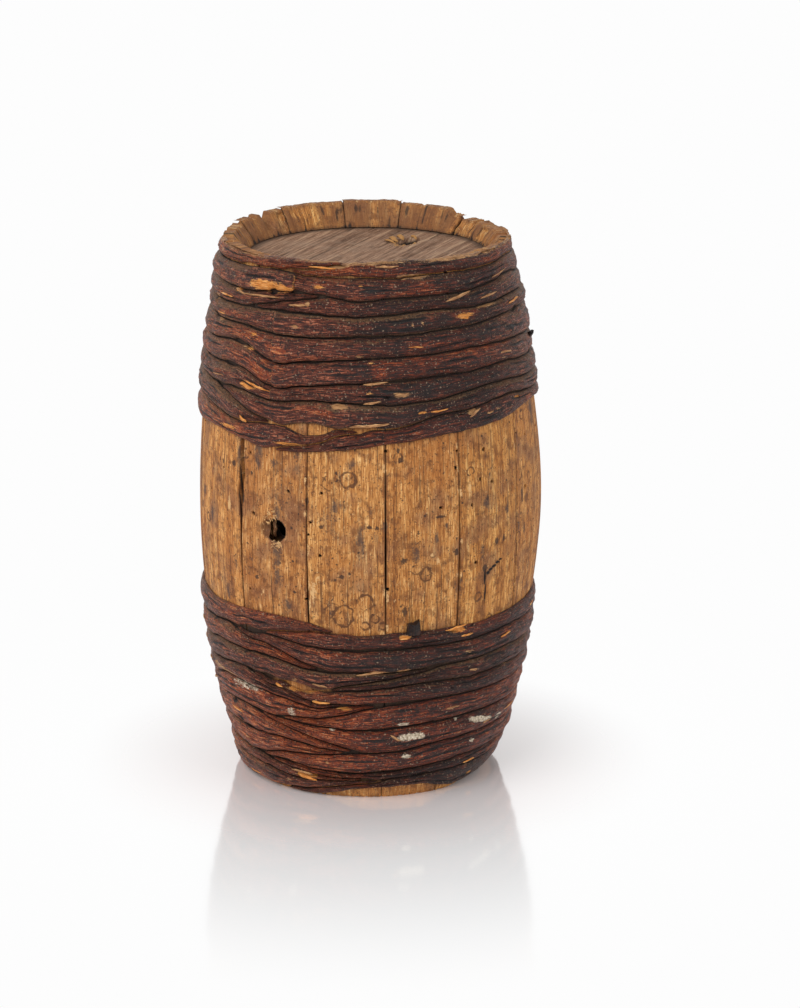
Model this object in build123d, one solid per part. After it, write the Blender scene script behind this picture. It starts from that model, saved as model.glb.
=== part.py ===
"""A small old keg of thirteen staves, bound at both ends with hoops of split withy.

Frame: millimetres, +Z up, the keg's axis on Z, its foot on Z = 0.
The bung hole looks along -Y.  Directions are degrees about Z, counted from +X.
"""

from build123d import *
from math import cos, degrees, radians, sin, sqrt
import os

# Cask outline: each half of the outside is one arc, and both are upright at the bilge.
# The ends are drawn in to a share of the bilge.
height = 240.0
bilge_height = 118.0
bilge_radius = 73.5
top_radius = 0.8136 * bilge_radius
foot_radius = 0.7293 * bilge_radius

# Stave thickness, at the bilge, under the heads and at the thinned rims
bilge_wall = 8.0
end_wall = 10.5
rim_wall = 4.0

# Staves, counted from the bung stave towards +X round the front
stave_widths = [34.5, 34.0, 33.5, 36.5, 31.5, 31.5, 31.5, 39.0, 33.0, 38.0, 38.0, 40.0, 40.0]
rim_wear = [0.6, 0.4, 0.8, 1.2, 2.0, 3.4, 4.0, 1.0, 0.0, 0.4, 0.8, 1.8, 1.2]
joint_gap = 0.2

# Bung hole, and how far it lies from the middle of its stave, towards +X
bung_radius = 5.0
bung_height = 123.0
bung_side = -90.0
bung_off_middle = 3.3

# Heads: three boards bevelled on their inner side, with a thin edge let into the croze
head_depth = 11.0
head_thickness = 7.0
head_edge = 3.0
head_bevel = 6.0
croze_depth = 2.5
head_clearance = 0.15
middle_board = 38.0
board_gap = 0.2
board_run = 97.0

# Hoops: split rods, flat against the staves, with a rounded back
hoop_crown = 3.2
hoop_widest = 9.2
hoop_gap = 0.3
hoop_clearance = 0.05
lap_length = 41.0
lap_gap = 0.5
tip_width = 1.5
tip_crown = 1.2
hoop_step_angle = 24.0
lap_steps = 3

# Back of a rod as shares of its half width and of its crown, from edge to edge
rod_back_shares = [(-1, 0), (-0.75, 0.7), (0, 1), (0.75, 0.7), (1, 0)]

# Where the middle of each hoop lies at its front, right, back and left.  The upper hoops are
# measured down from the rim, and the lower hoops up from the foot.
hoop_front = -58.4
upper_hoops = [
    (4.3, 9.0, 9.0, 8.5),
    (12.2, 15.0, 15.4, 15.0),
    (21.0, 21.5, 22.2, 21.8),
    (29.0, 28.0, 29.5, 29.5),
    (37.2, 35.0, 37.5, 38.0),
    (46.2, 43.0, 45.5, 47.2),
    (54.7, 51.5, 53.5, 55.8),
    (63.2, 60.0, 62.0, 64.4),
    (73.2, 69.5, 71.2, 74.0),
]
lower_hoops = [
    (76.5, 75.5, 76.0, 77.8),
    (67.1, 68.0, 68.0, 69.4),
    (57.6, 59.6, 59.8, 60.4),
    (48.6, 50.2, 50.6, 50.6),
    (39.2, 39.8, 40.4, 40.4),
    (28.6, 28.6, 29.0, 29.2),
    (18.2, 18.4, 18.5, 18.8),
    (10.2, 10.4, 10.4, 10.4),
    (5.0, 5.2, 5.2, 5.2),
]

# The way that the lap of each hoop faces, from the front
upper_lap_angles = [-22.0, -36.0, -40.0, -46.0, -48.0, -50.0, -50.0, -44.0, -28.0]
lower_lap_angles = [-30.0, -35.0, 4.0, -28.0, -16.0, -26.0, -30.0, -24.0, -18.0]


def arc_radius(rise, run):
    """Radius of an arc that rises by `rise` over `run` from its flat end."""
    return (rise ** 2 + run ** 2) / (2 * rise)


def bowed(z, bilge, top, foot, low, high):
    """Radius at height z of two arcs that meet upright at the bilge."""
    if z > bilge_height:
        rise, run = bilge - top, high - bilge_height
    else:
        rise, run = bilge - foot, bilge_height - low
    radius = arc_radius(rise, run)
    return bilge - radius + sqrt(radius ** 2 - (z - bilge_height) ** 2)


def outside(z):
    """Outer radius of the staves at height z."""
    return bowed(z, bilge_radius, top_radius, foot_radius, 0, height)


top_head = height - head_depth
foot_head = head_depth
top_inner = outside(top_head) - end_wall
foot_inner = outside(foot_head) - end_wall


def inside(z):
    """Inner radius of the staves at height z, between the heads."""
    return bowed(z, bilge_radius - bilge_wall, top_inner, foot_inner, foot_head, top_head)


def at(radius, z):
    """A point of a half section, which is drawn on the +X side."""
    return (radius, 0, z)


def stave_section(rim):
    """Half section of a stave whose upper end is worn down to the height `rim`."""
    worn = (rim - top_head) / head_depth
    rim_inner = top_inner + worn * (top_radius - rim_wall - top_inner)
    croze_top = top_head + head_clearance
    croze_low = top_head - head_edge - head_clearance
    foot_top = foot_head + head_edge + head_clearance
    foot_low = foot_head - head_clearance
    bilge_inner = bilge_radius - bilge_wall
    half_up = (bilge_height + rim) / 2
    half_down = bilge_height / 2
    inner_up = (bilge_height + croze_low) / 2
    inner_down = (bilge_height + foot_top) / 2
    outline = [
        Line(at(foot_radius, 0), at(foot_radius - rim_wall, 0)),
        Polyline(
            at(foot_radius - rim_wall, 0),
            at(foot_inner, foot_low),
            at(foot_inner + croze_depth, foot_low),
            at(foot_inner + croze_depth, foot_top),
            at(inside(foot_top), foot_top),
        ),
        ThreePointArc(
            at(inside(foot_top), foot_top),
            at(inside(inner_down), inner_down),
            at(bilge_inner, bilge_height),
        ),
        ThreePointArc(
            at(bilge_inner, bilge_height),
            at(inside(inner_up), inner_up),
            at(inside(croze_low), croze_low),
        ),
        Polyline(
            at(inside(croze_low), croze_low),
            at(top_inner + croze_depth, croze_low),
            at(top_inner + croze_depth, croze_top),
            at(top_inner, croze_top),
            at(rim_inner, rim),
            at(outside(rim), rim),
        ),
        ThreePointArc(
            at(outside(rim), rim),
            at(outside(half_up), half_up),
            at(bilge_radius, bilge_height),
        ),
        ThreePointArc(
            at(bilge_radius, bilge_height),
            at(outside(half_down), half_down),
            at(foot_radius, 0),
        ),
    ]
    return make_face(outline)


def bung_bore():
    """A straight hole for a bung or a tap, from the keg's axis out through one stave."""
    bore = Cylinder(bung_radius, 2 * bilge_radius, align=(Align.CENTER, Align.CENTER, Align.MIN))
    return Pos(0, 0, bung_height) * Rot(Z=bung_side) * Rot(Y=90) * bore


def staves():
    """The staves in order, each with joint faces that lie on radial planes."""
    turns = [360 * width / sum(stave_widths) for width in stave_widths]
    gap = degrees(joint_gap / bilge_radius)
    start = bung_side - degrees(bung_off_middle / bilge_radius) - turns[0] / 2
    made = {}
    for number, (turn, wear) in enumerate(zip(turns, rim_wear), start=1):
        stave = revolve(stave_section(height - wear), Axis.Z, revolution_arc=turn - gap)
        made[f"stave_{number:02d}"] = Rot(Z=start + gap / 2) * stave
        start += turn
    made["stave_bung"] = made.pop("stave_01") - bung_bore()
    return made


def head_section(inner):
    """Half section of a head: flat outside, bevelled inside down to the croze edge."""
    edge = inner + croze_depth - head_clearance
    return make_face(
        Polyline(
            at(0, 0),
            at(edge, 0),
            at(edge, -head_edge),
            at(inner - head_clearance, -head_edge),
            at(inner - head_bevel, -head_thickness),
            at(0, -head_thickness),
            at(0, 0),
        )
    )


def head(name, inner, place):
    """The boards of one head, butted edge to edge, with their flat side at `place`."""
    disc = revolve(head_section(inner), Axis.Z)
    radius = inner + croze_depth
    edges = [-radius, -middle_board / 2, middle_board / 2, radius]
    boards = {}
    for number, (left, right) in enumerate(zip(edges, edges[1:]), start=1):
        strip = Box(2 * radius, right - left - board_gap, 2 * head_thickness)
        strip = Rot(Z=board_run) * Pos(0, (left + right) / 2, 0) * strip
        boards[f"{name}_board_{number}"] = place * (disc & strip)
    return boards


def height_at(heights, angle):
    """Middle height of a hoop in the direction `angle`, from its four given heights."""
    front, right, back, left = heights
    turn = radians(angle - hoop_front)
    middle = (front + right + back + left) / 4
    twist = (front + back - right - left) / 4
    along = (front - back) / 2 * cos(turn) + (right - left) / 2 * sin(turn)
    return middle + along + twist * cos(2 * turn)


def hoop_room(band, index, angle):
    """Lowest and highest height that a hoop takes, halfway to each neighbour at most."""
    middle = height_at(band[index], angle)
    low, high = middle - hoop_widest / 2, middle + hoop_widest / 2
    if index > 0:
        high = min(high, (middle + height_at(band[index - 1], angle) - hoop_gap) / 2)
    else:
        high = min(high, height - hoop_gap)
    if index < len(band) - 1:
        low = max(low, (middle + height_at(band[index + 1], angle) + hoop_gap) / 2)
    else:
        low = max(low, middle - (high - middle))
    return low, high


def rod_section(angle, low, high, crown):
    """Section of a rod in the upright plane at `angle`, from height low to height high."""
    plane = Plane(
        origin=(0, 0, 0),
        x_dir=(cos(radians(angle)), sin(radians(angle)), 0),
        z_dir=(sin(radians(angle)), -cos(radians(angle)), 0),
    )
    corners = []
    for across, proud in rod_back_shares:
        z = (low + high) / 2 + across * (high - low) / 2
        corners.append((outside(z) + hoop_clearance + proud * crown, z))
    return plane * make_face(Polyline(*corners, close=True))


def hoop(band, index, lap_angle):
    """One rod bent round the staves, its tapered ends side by side in the lap."""
    seat_radius = outside(height_at(band[index], hoop_front))
    lap_sweep = degrees(lap_length / seat_radius)
    start = hoop_front + lap_angle - lap_sweep / 2
    rest = 360 - lap_sweep
    steps = round(rest / hoop_step_angle)
    first_end = [lap_sweep * k / lap_steps for k in range(lap_steps)]
    round_back = [lap_sweep + rest * k / steps for k in range(1, steps)]
    last_end = [360 + lap_sweep * k / lap_steps for k in range(1, lap_steps + 1)]
    first_below = index % 2 == 0
    sections = []
    for turn in first_end + [lap_sweep] + round_back + [360] + last_end:
        low, high = hoop_room(band, index, start + turn)
        crown = hoop_crown
        if turn <= lap_sweep or turn >= 360:
            share = min(turn, 360 + lap_sweep - turn) / lap_sweep
            thickest = high - low - tip_width - lap_gap
            width = tip_width + (thickest - tip_width) * share
            crown = tip_crown + (hoop_crown - tip_crown) * share
            if (turn <= lap_sweep) == first_below:
                high = low + width
            else:
                low = high - width
        sections.append(rod_section(start + turn, low, high, crown))
    return loft(sections)


def main():
    """Build every piece and write one STEP file for each."""
    pieces = staves()
    pieces |= head("top_head", top_inner, Pos(0, 0, top_head))
    pieces |= head("foot_head", foot_inner, Pos(0, 0, foot_head) * Rot(X=180))
    upper_band = [[height - down for down in heights] for heights in upper_hoops]
    for index, lap_angle in enumerate(upper_lap_angles):
        pieces[f"upper_hoop_{index + 1}"] = hoop(upper_band, index, lap_angle)
    for index, lap_angle in enumerate(lower_lap_angles):
        pieces[f"lower_hoop_{index + 1}"] = hoop(lower_hoops, index, lap_angle)
    os.makedirs("parts", exist_ok=True)
    for name, piece in pieces.items():
        export_step(piece, f"parts/{name}.step")


if __name__ == "__main__":
    main()
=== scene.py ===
"""A small old wooden keg bound with split withies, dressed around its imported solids.

Sizes are millimetres until a mesh is finished, when MM turns it to metres.  `side` is a
direction round the keg in degrees, counted from its front and positive to the right.
"""

import logging
from collections.abc import Callable, Iterable
from dataclasses import dataclass, field
from enum import Enum
from math import atan2, cos, degrees, exp, hypot, pi, radians, sin, sqrt
from random import Random

import bmesh
import bpy
from mathutils import Matrix, Vector, noise


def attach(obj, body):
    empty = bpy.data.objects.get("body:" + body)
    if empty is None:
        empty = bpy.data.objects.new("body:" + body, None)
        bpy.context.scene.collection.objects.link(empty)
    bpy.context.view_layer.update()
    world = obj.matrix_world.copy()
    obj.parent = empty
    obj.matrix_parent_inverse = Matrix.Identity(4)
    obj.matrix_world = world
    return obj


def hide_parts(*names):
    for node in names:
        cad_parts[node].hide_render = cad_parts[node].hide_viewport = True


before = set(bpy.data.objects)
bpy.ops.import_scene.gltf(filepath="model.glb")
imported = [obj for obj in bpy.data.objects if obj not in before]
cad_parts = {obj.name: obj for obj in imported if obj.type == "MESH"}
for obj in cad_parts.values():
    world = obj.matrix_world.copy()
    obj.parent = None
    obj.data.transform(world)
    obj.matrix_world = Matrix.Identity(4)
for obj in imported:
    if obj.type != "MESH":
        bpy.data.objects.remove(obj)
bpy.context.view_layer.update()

log = logging.getLogger("keg")

MM = 0.001
FRONT = -58.4
RIDES_ON = "root"
Socket = bpy.types.NodeSocket
Tree = bpy.types.NodeTree
Node = bpy.types.Node
Mesh = bmesh.types.BMesh
Pair = tuple[float, float]
Triple = tuple[float, float, float]
COLOUR_MIX = {"kind": "ShaderNodeMix", "data_type": "RGBA"}


def linear(code: str) -> tuple[float, float, float, float]:
    """Turn an sRGB colour, #rrggbb, into the linear one that a shader takes, with alpha 1."""
    parts = [int(code[k:k + 2], 16) / 255 for k in (1, 3, 5)]
    return (*(c / 12.92 if c <= 0.04045 else ((c + 0.055) / 1.055) ** 2.4 for c in parts), 1.0)


def add_node(tree: Tree, kind: str, inputs: dict | None = None, ramp: list | None = None,
             **settings) -> Node:
    """Add a node with its settings, its constant inputs and its links.

    Args:
        tree: node tree that gets the node.
        kind: node type.
        inputs: socket name or index, with a value or the socket that it is linked to.
        ramp: for a colour ramp, its stops as (position, colour).
        settings: properties of the node.

    Returns:
        The new node.
    """
    node = tree.nodes.new(kind)
    for name, value in settings.items():
        setattr(node, name, value)
    for key, value in (inputs or {}).items():
        if isinstance(value, Socket):
            tree.links.new(value, node.inputs[key])
        else:
            node.inputs[key].default_value = value
    if ramp:
        stops = node.color_ramp.elements
        while len(stops) < len(ramp):
            stops.new(0.5)
        for stop, (place, code) in zip(stops, ramp):
            stop.position, stop.color = place, linear(code)
    return node


def smooth(value: float, low: float = 0.0, high: float = 1.0) -> float:
    """Ease from 0 at `low` to 1 at `high`; `low` may lie above `high`."""
    share = min(1.0, max(0.0, (value - low) / (high - low)))
    return share * share * (3 - 2 * share)


def wobble(seed: float, *place: float) -> float:
    """Smooth noise of about -1 to 1 at up to two places, told apart by a seed."""
    x, y = (*place, 0.0)[:2]
    return noise.noise(Vector((x, y, seed * 7.31 + 0.37)))


def around(places: tuple[float, ...], values: tuple[float, ...], side: float) -> float:
    """Value in one direction on a closed smooth curve through given ones.

    Args:
        places: directions in degrees, rising.
        values: the value in each of them.
        side: direction asked for.

    Returns:
        The value there.
    """
    count = len(places)
    side = (side - places[0]) % 360 + places[0]
    first = next((k for k in range(count) if side < places[k]), count) - 1
    near = [(places[k % count] + 360 * (k // count), values[k % count])
            for k in range(first - 1, first + 3)]
    (x0, y0), (x1, y1), (x2, y2), (x3, y3) = near
    t, run = (side - x1) / (x2 - x1), x2 - x1
    slope, next_slope = (y2 - y0) / (x2 - x0) * run, (y3 - y1) / (x3 - x1) * run
    return ((2 * t - 3) * t * t * (y1 - y2) + y1
            + (t * t - 2 * t + 1) * t * slope + (t - 1) * t * t * next_slope)


def apart(side: float, place: float) -> float:
    """Degrees from `place` to `side` by the short way round, -180 to 180."""
    return (side - place + 180) % 360 - 180


def painted_layers(mesh: Mesh, *names: str) -> list[bmesh.types.BMLayerItem]:
    """Add layers of four values at each point, named as a finish reads them."""
    return [mesh.verts.layers.float_color.new(name) for name in names]


def paint(vert: bmesh.types.BMVert, layers: Iterable, values: Iterable) -> None:
    """Give a point its value in each painted layer."""
    for layer, value in zip(layers, values):
        vert[layer] = Vector(value)


def lay_grain(mesh: Mesh, place: Callable, faces: Iterable | None = None) -> None:
    """Lay the grain map over a mesh, in metres across and along the grain.

    Args:
        mesh: mesh that is mapped.
        place: gives a point's millimetres across and along the grain.
        faces: the faces that are mapped, where it isn't all of them.
    """
    grain = mesh.loops.layers.uv.get("grain") or mesh.loops.layers.uv.new("grain")
    for face in faces or mesh.faces:
        for loop in face.loops:
            across, along = place(loop.vert)
            loop[grain].uv = (across * MM, along * MM)


def to_object(mesh: Mesh, name: str) -> bpy.types.Object:
    """Turn a mesh into an object of the scene.

    Args:
        mesh: the shape, which is freed.
        name: name of the object and its data.

    Returns:
        The object.
    """
    data = bpy.data.meshes.new(name)
    mesh.to_mesh(data)
    mesh.free()
    made = bpy.data.objects.new(name, data)
    bpy.context.scene.collection.objects.link(made)
    return made


def finish_piece(mesh: Mesh, name: str, material: bpy.types.Material,
                 nodes: tuple[str, ...] = (), sharp: float = 50.0) -> bpy.types.Object:
    """Turn a mesh in millimetres into a dressed piece in metres that rides on the keg.

    Args:
        mesh: the finished shape, which is freed.
        name: name of the piece.
        material: its finish.
        nodes: solids that the piece stands for.
        sharp: angle in degrees past which an edge is drawn sharp.

    Returns:
        The new object.
    """
    bmesh.ops.scale(mesh, vec=(MM, MM, MM), verts=mesh.verts)
    bmesh.ops.recalc_face_normals(mesh, faces=mesh.faces)
    for face in mesh.faces:
        face.smooth = True
    piece = to_object(mesh, name)
    piece.data.set_sharp_from_angle(angle=radians(sharp))
    piece.data.materials.append(material)
    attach(piece, RIDES_ON)
    if nodes:
        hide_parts(*nodes)
    log.info("%s: %d faces", name, len(piece.data.polygons))
    return piece


@dataclass(frozen=True)
class CaskForm:
    """Outline of the keg, as its solids have it, with a slight swell on its right."""

    height: float = 240.0
    bilge_height: float = 118.0
    bilge_radius: float = 73.5
    top_radius: float = 59.8
    foot_radius: float = 53.6
    bilge_wall: float = 8.0
    end_wall: float = 10.5
    rim_wall: float = 4.0
    head_depth: float = 11.0
    head_edge: float = 3.0
    croze_depth: float = 2.5
    swell: float = 2.3
    swell_side: float = 88.0
    swell_reach: float = 26.0
    swell_height: float = 128.0

    def bowed(self, z: float, bilge: float, top: float, foot: float,
              low: float, high: float) -> float:
        """Radius at height z of two arcs that meet upright at the bilge.

        Args:
            z: height.
            bilge: radius at the bilge.
            top: radius at the upper end.
            foot: radius at the lower end.
            low: height of the lower end.
            high: height of the upper end.

        Returns:
            The radius.
        """
        if z > self.bilge_height:
            rise, run = bilge - top, high - self.bilge_height
        else:
            rise, run = bilge - foot, self.bilge_height - low
        radius = (rise ** 2 + run ** 2) / (2 * rise)
        return bilge - radius + sqrt(radius ** 2 - (z - self.bilge_height) ** 2)

    def outside(self, z: float) -> float:
        """Outer radius of the staves at height z."""
        z = min(self.height, max(0.0, z))
        return self.bowed(z, self.bilge_radius, self.top_radius, self.foot_radius, 0, self.height)

    def inside(self, z: float) -> float:
        """Inner radius of the staves between the heads.

        Args:
            z: height.

        Returns:
            The radius.
        """
        top, foot = self.height - self.head_depth, self.head_depth
        return self.bowed(z, self.bilge_radius - self.bilge_wall, self.outside(top) - self.end_wall,
                          self.outside(foot) - self.end_wall, foot, top)

    def swelled(self, side: float, z: float) -> float:
        """How far the keg stands out of round.

        Args:
            side: direction from the front.
            z: height.

        Returns:
            The swell there.
        """
        off = abs(apart(side, self.swell_side))
        if off >= self.swell_reach:
            return 0.0
        return (self.swell * smooth(off, self.swell_reach, 0.0)
                * exp(-((z - self.swell_height) / 42.0) ** 2))


FORM = CaskForm()


class MarkKind(Enum):
    """What a mark on the wood or the bark is."""

    RING = "brown ring left by a drop"
    STAIN = "brown patch"
    SOOT = "grey smudge"
    SPOT = "small black spot"
    WORM = "round hole of a beetle"
    CHIP = "pale flake"
    CRACK = "dark check"
    TORN = "shallow hollow of torn wood"
    RAW = "bright wood under torn bark"
    PALE = "greyed wood under lost bark"
    RED = "red inner bark"
    LICHEN = "pale crust of lichen"
    # A hole in the bark is painted black as shade
    HOLE = "black hollow in the bark"


RING, STAIN, SOOT, SPOT, WORM, CHIP, CRACK, TORN, RAW, PALE, RED, LICHEN, HOLE = MarkKind


@dataclass(frozen=True)
class Mark:
    """A mark: where it lies, half its width and half its height."""

    kind: MarkKind
    side: float
    z: float
    wide: float
    tall: float
    strength: float = 1.0
    slope: float = 0.0


class MarkMap:
    """Marks sorted by place, in cells of 8 degrees by 8 millimetres."""

    cell = 8
    # How far past its half size a mark may still show
    reach = 1.75

    def __init__(self, marks: Iterable[Mark]) -> None:
        """Sort the marks.

        Args:
            marks: marks in any order.
        """
        self.cells: dict[tuple[int, int], list[Mark]] = {}
        for mark in marks:
            spread = self.reach * mark.wide + 1.5
            rise = self.reach * mark.tall + 1 + abs(mark.slope) * spread
            columns = range(int((mark.side - spread * 1.1) // self.cell),
                            int((mark.side + spread * 1.1) // self.cell) + 1)
            rows = range(int((mark.z - rise) // self.cell), int((mark.z + rise) // self.cell) + 1)
            for column in columns:
                for row in rows:
                    self.cells.setdefault((column % (360 // self.cell), row), []).append(mark)

    def near(self, side: float, z: float) -> list[Mark]:
        """The marks that may reach one place."""
        return self.cells.get((int(side % 360 // self.cell), int(z // self.cell)), [])


@dataclass(frozen=True)
class Finish:
    """A finish that several pieces share."""

    name: str
    roughness: float
    ior: float

    def material(self) -> bpy.types.Material:
        """Make the material once, and hand the same one out after that.

        Returns:
            The material.
        """
        made = bpy.data.materials.get(self.name)
        if made:
            return made
        made = bpy.data.materials.new(self.name)
        made.use_nodes = True
        tree = made.node_tree
        tree.nodes.clear()
        shader = add_node(tree, "ShaderNodeBsdfPrincipled",
                          {"Roughness": self.roughness, "IOR": self.ior})
        add_node(tree, "ShaderNodeOutputMaterial", {"Surface": shader.outputs[0]})
        self.dress(tree, shader)
        return made

    def dress(self, tree: Tree, shader: Node) -> None:
        """Link colour, gloss and relief to the shader."""
        raise NotImplementedError

    def streaks(self, tree: Tree, wide: float, long: float, detail: float = 2.0,
                rough: float = 0.5, shift: float = 0.0) -> Socket:
        """Streaks that follow the grain, whose map is in metres across and along.

        Args:
            tree: gets the nodes.
            wide: width of a streak in millimetres.
            long: length of a streak in millimetres.
            detail: finer octaves in it.
            rough: weight of the finer octaves.
            shift: moves the pattern, so that two layers differ.

        Returns:
            The noise value, 0 to 1 about 0.5.
        """
        place = add_node(tree, "ShaderNodeUVMap", uv_map="grain").outputs[0]
        spread = add_node(tree, "ShaderNodeMapping", {
            "Vector": place, "Location": (shift, shift, shift),
            "Scale": (1 / (wide * MM), 1 / (long * MM), 1.0)})
        return add_node(tree, "ShaderNodeTexNoise", {
            "Vector": spread.outputs[0], "Scale": 1.0, "Detail": detail, "Roughness": rough,
        }).outputs[0]

    def blotches(self, tree: Tree, size: float, detail: float = 3.0, shift: float = 0.0) -> Socket:
        """Blotches that are the same in every direction.

        Args:
            tree: gets the nodes.
            size: size of a blotch in millimetres.
            detail: finer octaves in it.
            shift: moves the pattern, so that two layers differ.

        Returns:
            The noise value, 0 to 1 about 0.5.
        """
        place = add_node(tree, "ShaderNodeTexCoord").outputs["Object"]
        spread = add_node(tree, "ShaderNodeMapping", {
            "Vector": place, "Location": (shift, shift, shift),
            "Scale": (1 / (size * MM),) * 3})
        return add_node(tree, "ShaderNodeTexNoise", {
            "Vector": spread.outputs[0], "Scale": 1.0, "Detail": detail}).outputs[0]

    def weigh(self, tree: Tree, *patterns: tuple[Socket, float], start: float = 0.0) -> Socket:
        """Add patterns up, each times its weight.

        Args:
            tree: gets the nodes.
            patterns: the patterns with their weights.
            start: value that they are added to.

        Returns:
            The sum.
        """
        total: Socket | float = start
        for pattern, weight in patterns:
            total = add_node(tree, "ShaderNodeMath", {0: pattern, 1: weight, 2: total},
                             operation="MULTIPLY_ADD").outputs[0]
        return total

    def coat(self, tree: Tree, under: Socket, over: Socket | str, where: Socket,
             low: float = 0.0, high: float = 1.0, most: float = 1.0) -> Socket:
        """Lay one colour over another, following a pattern.

        Args:
            tree: gets the nodes.
            under: colour that is covered.
            over: colour that covers it, as a socket or as #rrggbb.
            where: the pattern.
            low: value of the pattern where the coat begins.
            high: value at which it is full.
            most: how much it covers where it is full.

        Returns:
            The mixed colour.
        """
        cover = add_node(tree, "ShaderNodeMapRange", {
            "Value": where, "From Min": low, "From Max": high, "To Max": most},
            interpolation_type="SMOOTHSTEP").outputs[0]
        return add_node(tree, **COLOUR_MIX, inputs={
            0: cover, 6: under, 7: linear(over) if isinstance(over, str) else over}).outputs[2]

    def coats(self, tree: Tree, colour: Socket, *rows: tuple) -> Socket:
        """Lay several colours over one another.

        Args:
            tree: gets the nodes.
            colour: the colour below them.
            rows: each one's colour, pattern, begin, full and cover, as `coat` takes them.

        Returns:
            The mixed colour.
        """
        for row in rows:
            colour = self.coat(tree, colour, *row)
        return colour

    def ragged_coats(self, tree: Tree, colour: Socket, fibres: Socket, grit: Socket,
                     *rows: tuple) -> Socket:
        """Lay painted fields over a colour, with edges that fibres and grit break up.

        Args:
            tree: gets the nodes.
            colour: the colour below them.
            fibres: fine pattern along the grain.
            grit: fine pattern of no direction.
            rows: each one's field, raggedness, begin, full, colour and cover.

        Returns:
            The mixed colour.
        """
        for part, ragged, low, high, code, most in rows:
            where = self.weigh(tree, (part, 1.0), (fibres, ragged / 2), (grit, ragged / 2),
                               start=-ragged / 2)
            colour = self.coat(tree, colour, code, where, low, high, most)
        return colour

    def surface(self, tree: Tree, shader: Node, colour: Socket, depth: float,
                strength: float, *patterns: tuple[Socket, float]) -> None:
        """Link the colour, and a relief made of patterns, to the shader.

        Args:
            tree: gets the nodes.
            shader: shader that they are linked to.
            colour: the finished colour.
            depth: depth of the relief in millimetres.
            strength: how much of it shows.
            patterns: the patterns with their weights.
        """
        tree.links.new(colour, shader.inputs["Base Color"])
        bump = add_node(tree, "ShaderNodeBump", {
            "Height": self.weigh(tree, *patterns), "Distance": depth * MM, "Strength": strength})
        tree.links.new(bump.outputs[0], shader.inputs["Normal"])

    def fields(self, tree: Tree, name: str) -> tuple[Socket, Socket, Socket, Socket]:
        """Read a painted attribute.

        Args:
            tree: gets the nodes.
            name: name of the attribute.

        Returns:
            The four values that it holds.
        """
        read = add_node(tree, "ShaderNodeAttribute", attribute_name=name)
        parts = add_node(tree, "ShaderNodeSeparateColor", {0: read.outputs["Color"]})
        return (*parts.outputs, read.outputs["Alpha"])


@dataclass(frozen=True)
class ShavedStaveWood(Finish):
    """Fir staves, shaved by hand and rubbed dull by long handling.

    Gives the eye a warm honey brown with fine upright grain, greyed and stained in places,
    with little shine.
    """

    name: str = "shaved_fir_staves"
    roughness: float = 0.66
    ior: float = 1.38

    def dress(self, tree: Tree, shader: Node) -> None:
        """Grain, blotches and marks over the wood's own tone, then painted shade beneath the hoops,
        at the foot of the rim, deep in the bung hole and in holes and checks.
        """
        # Rings 3 mm and plane lines 0.8 mm wide; fibres, too fine to show, are drawn at 0.5 mm
        rings = self.streaks(tree, 3.0, 170, 2.0)
        lines = self.streaks(tree, 0.8, 60, 2.0, 0.6, 5.0)
        fibres = self.streaks(tree, 0.5, 7, 3.0, 0.7, 3.0)
        grit = self.blotches(tree, 0.8, 2.0, 9.0)
        tone = self.weigh(tree, (rings, 0.25), (lines, 0.17), (fibres, 0.58))
        colour = add_node(tree, "ShaderNodeValToRGB", {0: tone}, ramp=[
            (0.38, "#6f421d"), (0.46, "#a97138"), (0.53, "#ca9454"), (0.62, "#f4cc8e")]).outputs[0]
        colour = self.coats(
            tree, colour, ("#7d5a44", self.blotches(tree, 14, 5.0), 0.47, 0.66, 0.6),
            ("#a86a30", self.blotches(tree, 24, 3.0, 5.0), 0.5, 0.7, 0.45),
            ("#6b4020", self.blotches(tree, 3.5, 5.0, 2.0), 0.5, 0.66, 0.6),
            ("#4b2c16", lines, 0.585, 0.66, 0.75),
            ("#4a3023", self.blotches(tree, 1.7, 4.0, 14.0), 0.59, 0.7, 0.55),
            ("#ecc790", self.streaks(tree, 0.8, 2.2, 2.0, 0.6, 7.0), 0.64, 0.72, 0.5),
            ("#38241a", grit, 0.63, 0.68, 0.8))
        tint = add_node(tree, "ShaderNodeAttribute", attribute_name="tint")
        colour = add_node(tree, **COLOUR_MIX, blend_type="MULTIPLY", inputs={
            0: 1.0, 6: colour, 7: tint.outputs["Color"]}).outputs[2]
        ring, soot, chip, spot = self.fields(tree, "marks")
        stain, hollow, grime_and_shade, rim = self.fields(tree, "wear")
        # The wear layer's third value is dirt at the joints and in blotches, with painted shade
        # beneath the hoops, at the foot of the rim's inside and deep in the bung hole; its second
        # value is painted shade in beetle holes, checks and torn hollows
        colour = self.ragged_coats(
            tree, colour, fibres, grit,
            (rim, 1.2, 0.1, 0.9, "#714729", 0.75), (stain, 1.0, 0.15, 0.8, "#633b1f", 0.8),
            (soot, 1.5, 0.05, 0.65, "#3f3330", 0.8), (ring, 0.8, 0.25, 0.55, "#4c2c18", 0.85),
            (spot, 1.1, 0.36, 0.6, "#30211a", 0.85), (chip, 1.8, 0.45, 0.68, "#dcb27a", 0.8),
            (grime_and_shade, 0.5, 0.1, 0.9, "#150d09", 0.95), (hollow, 0.2, 0.1, 0.8, "#0d0806", 1.0))
        self.surface(tree, shader, colour, 0.6, 0.9, (fibres, 0.6), (lines, 0.4), (grit, 0.3))


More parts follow.
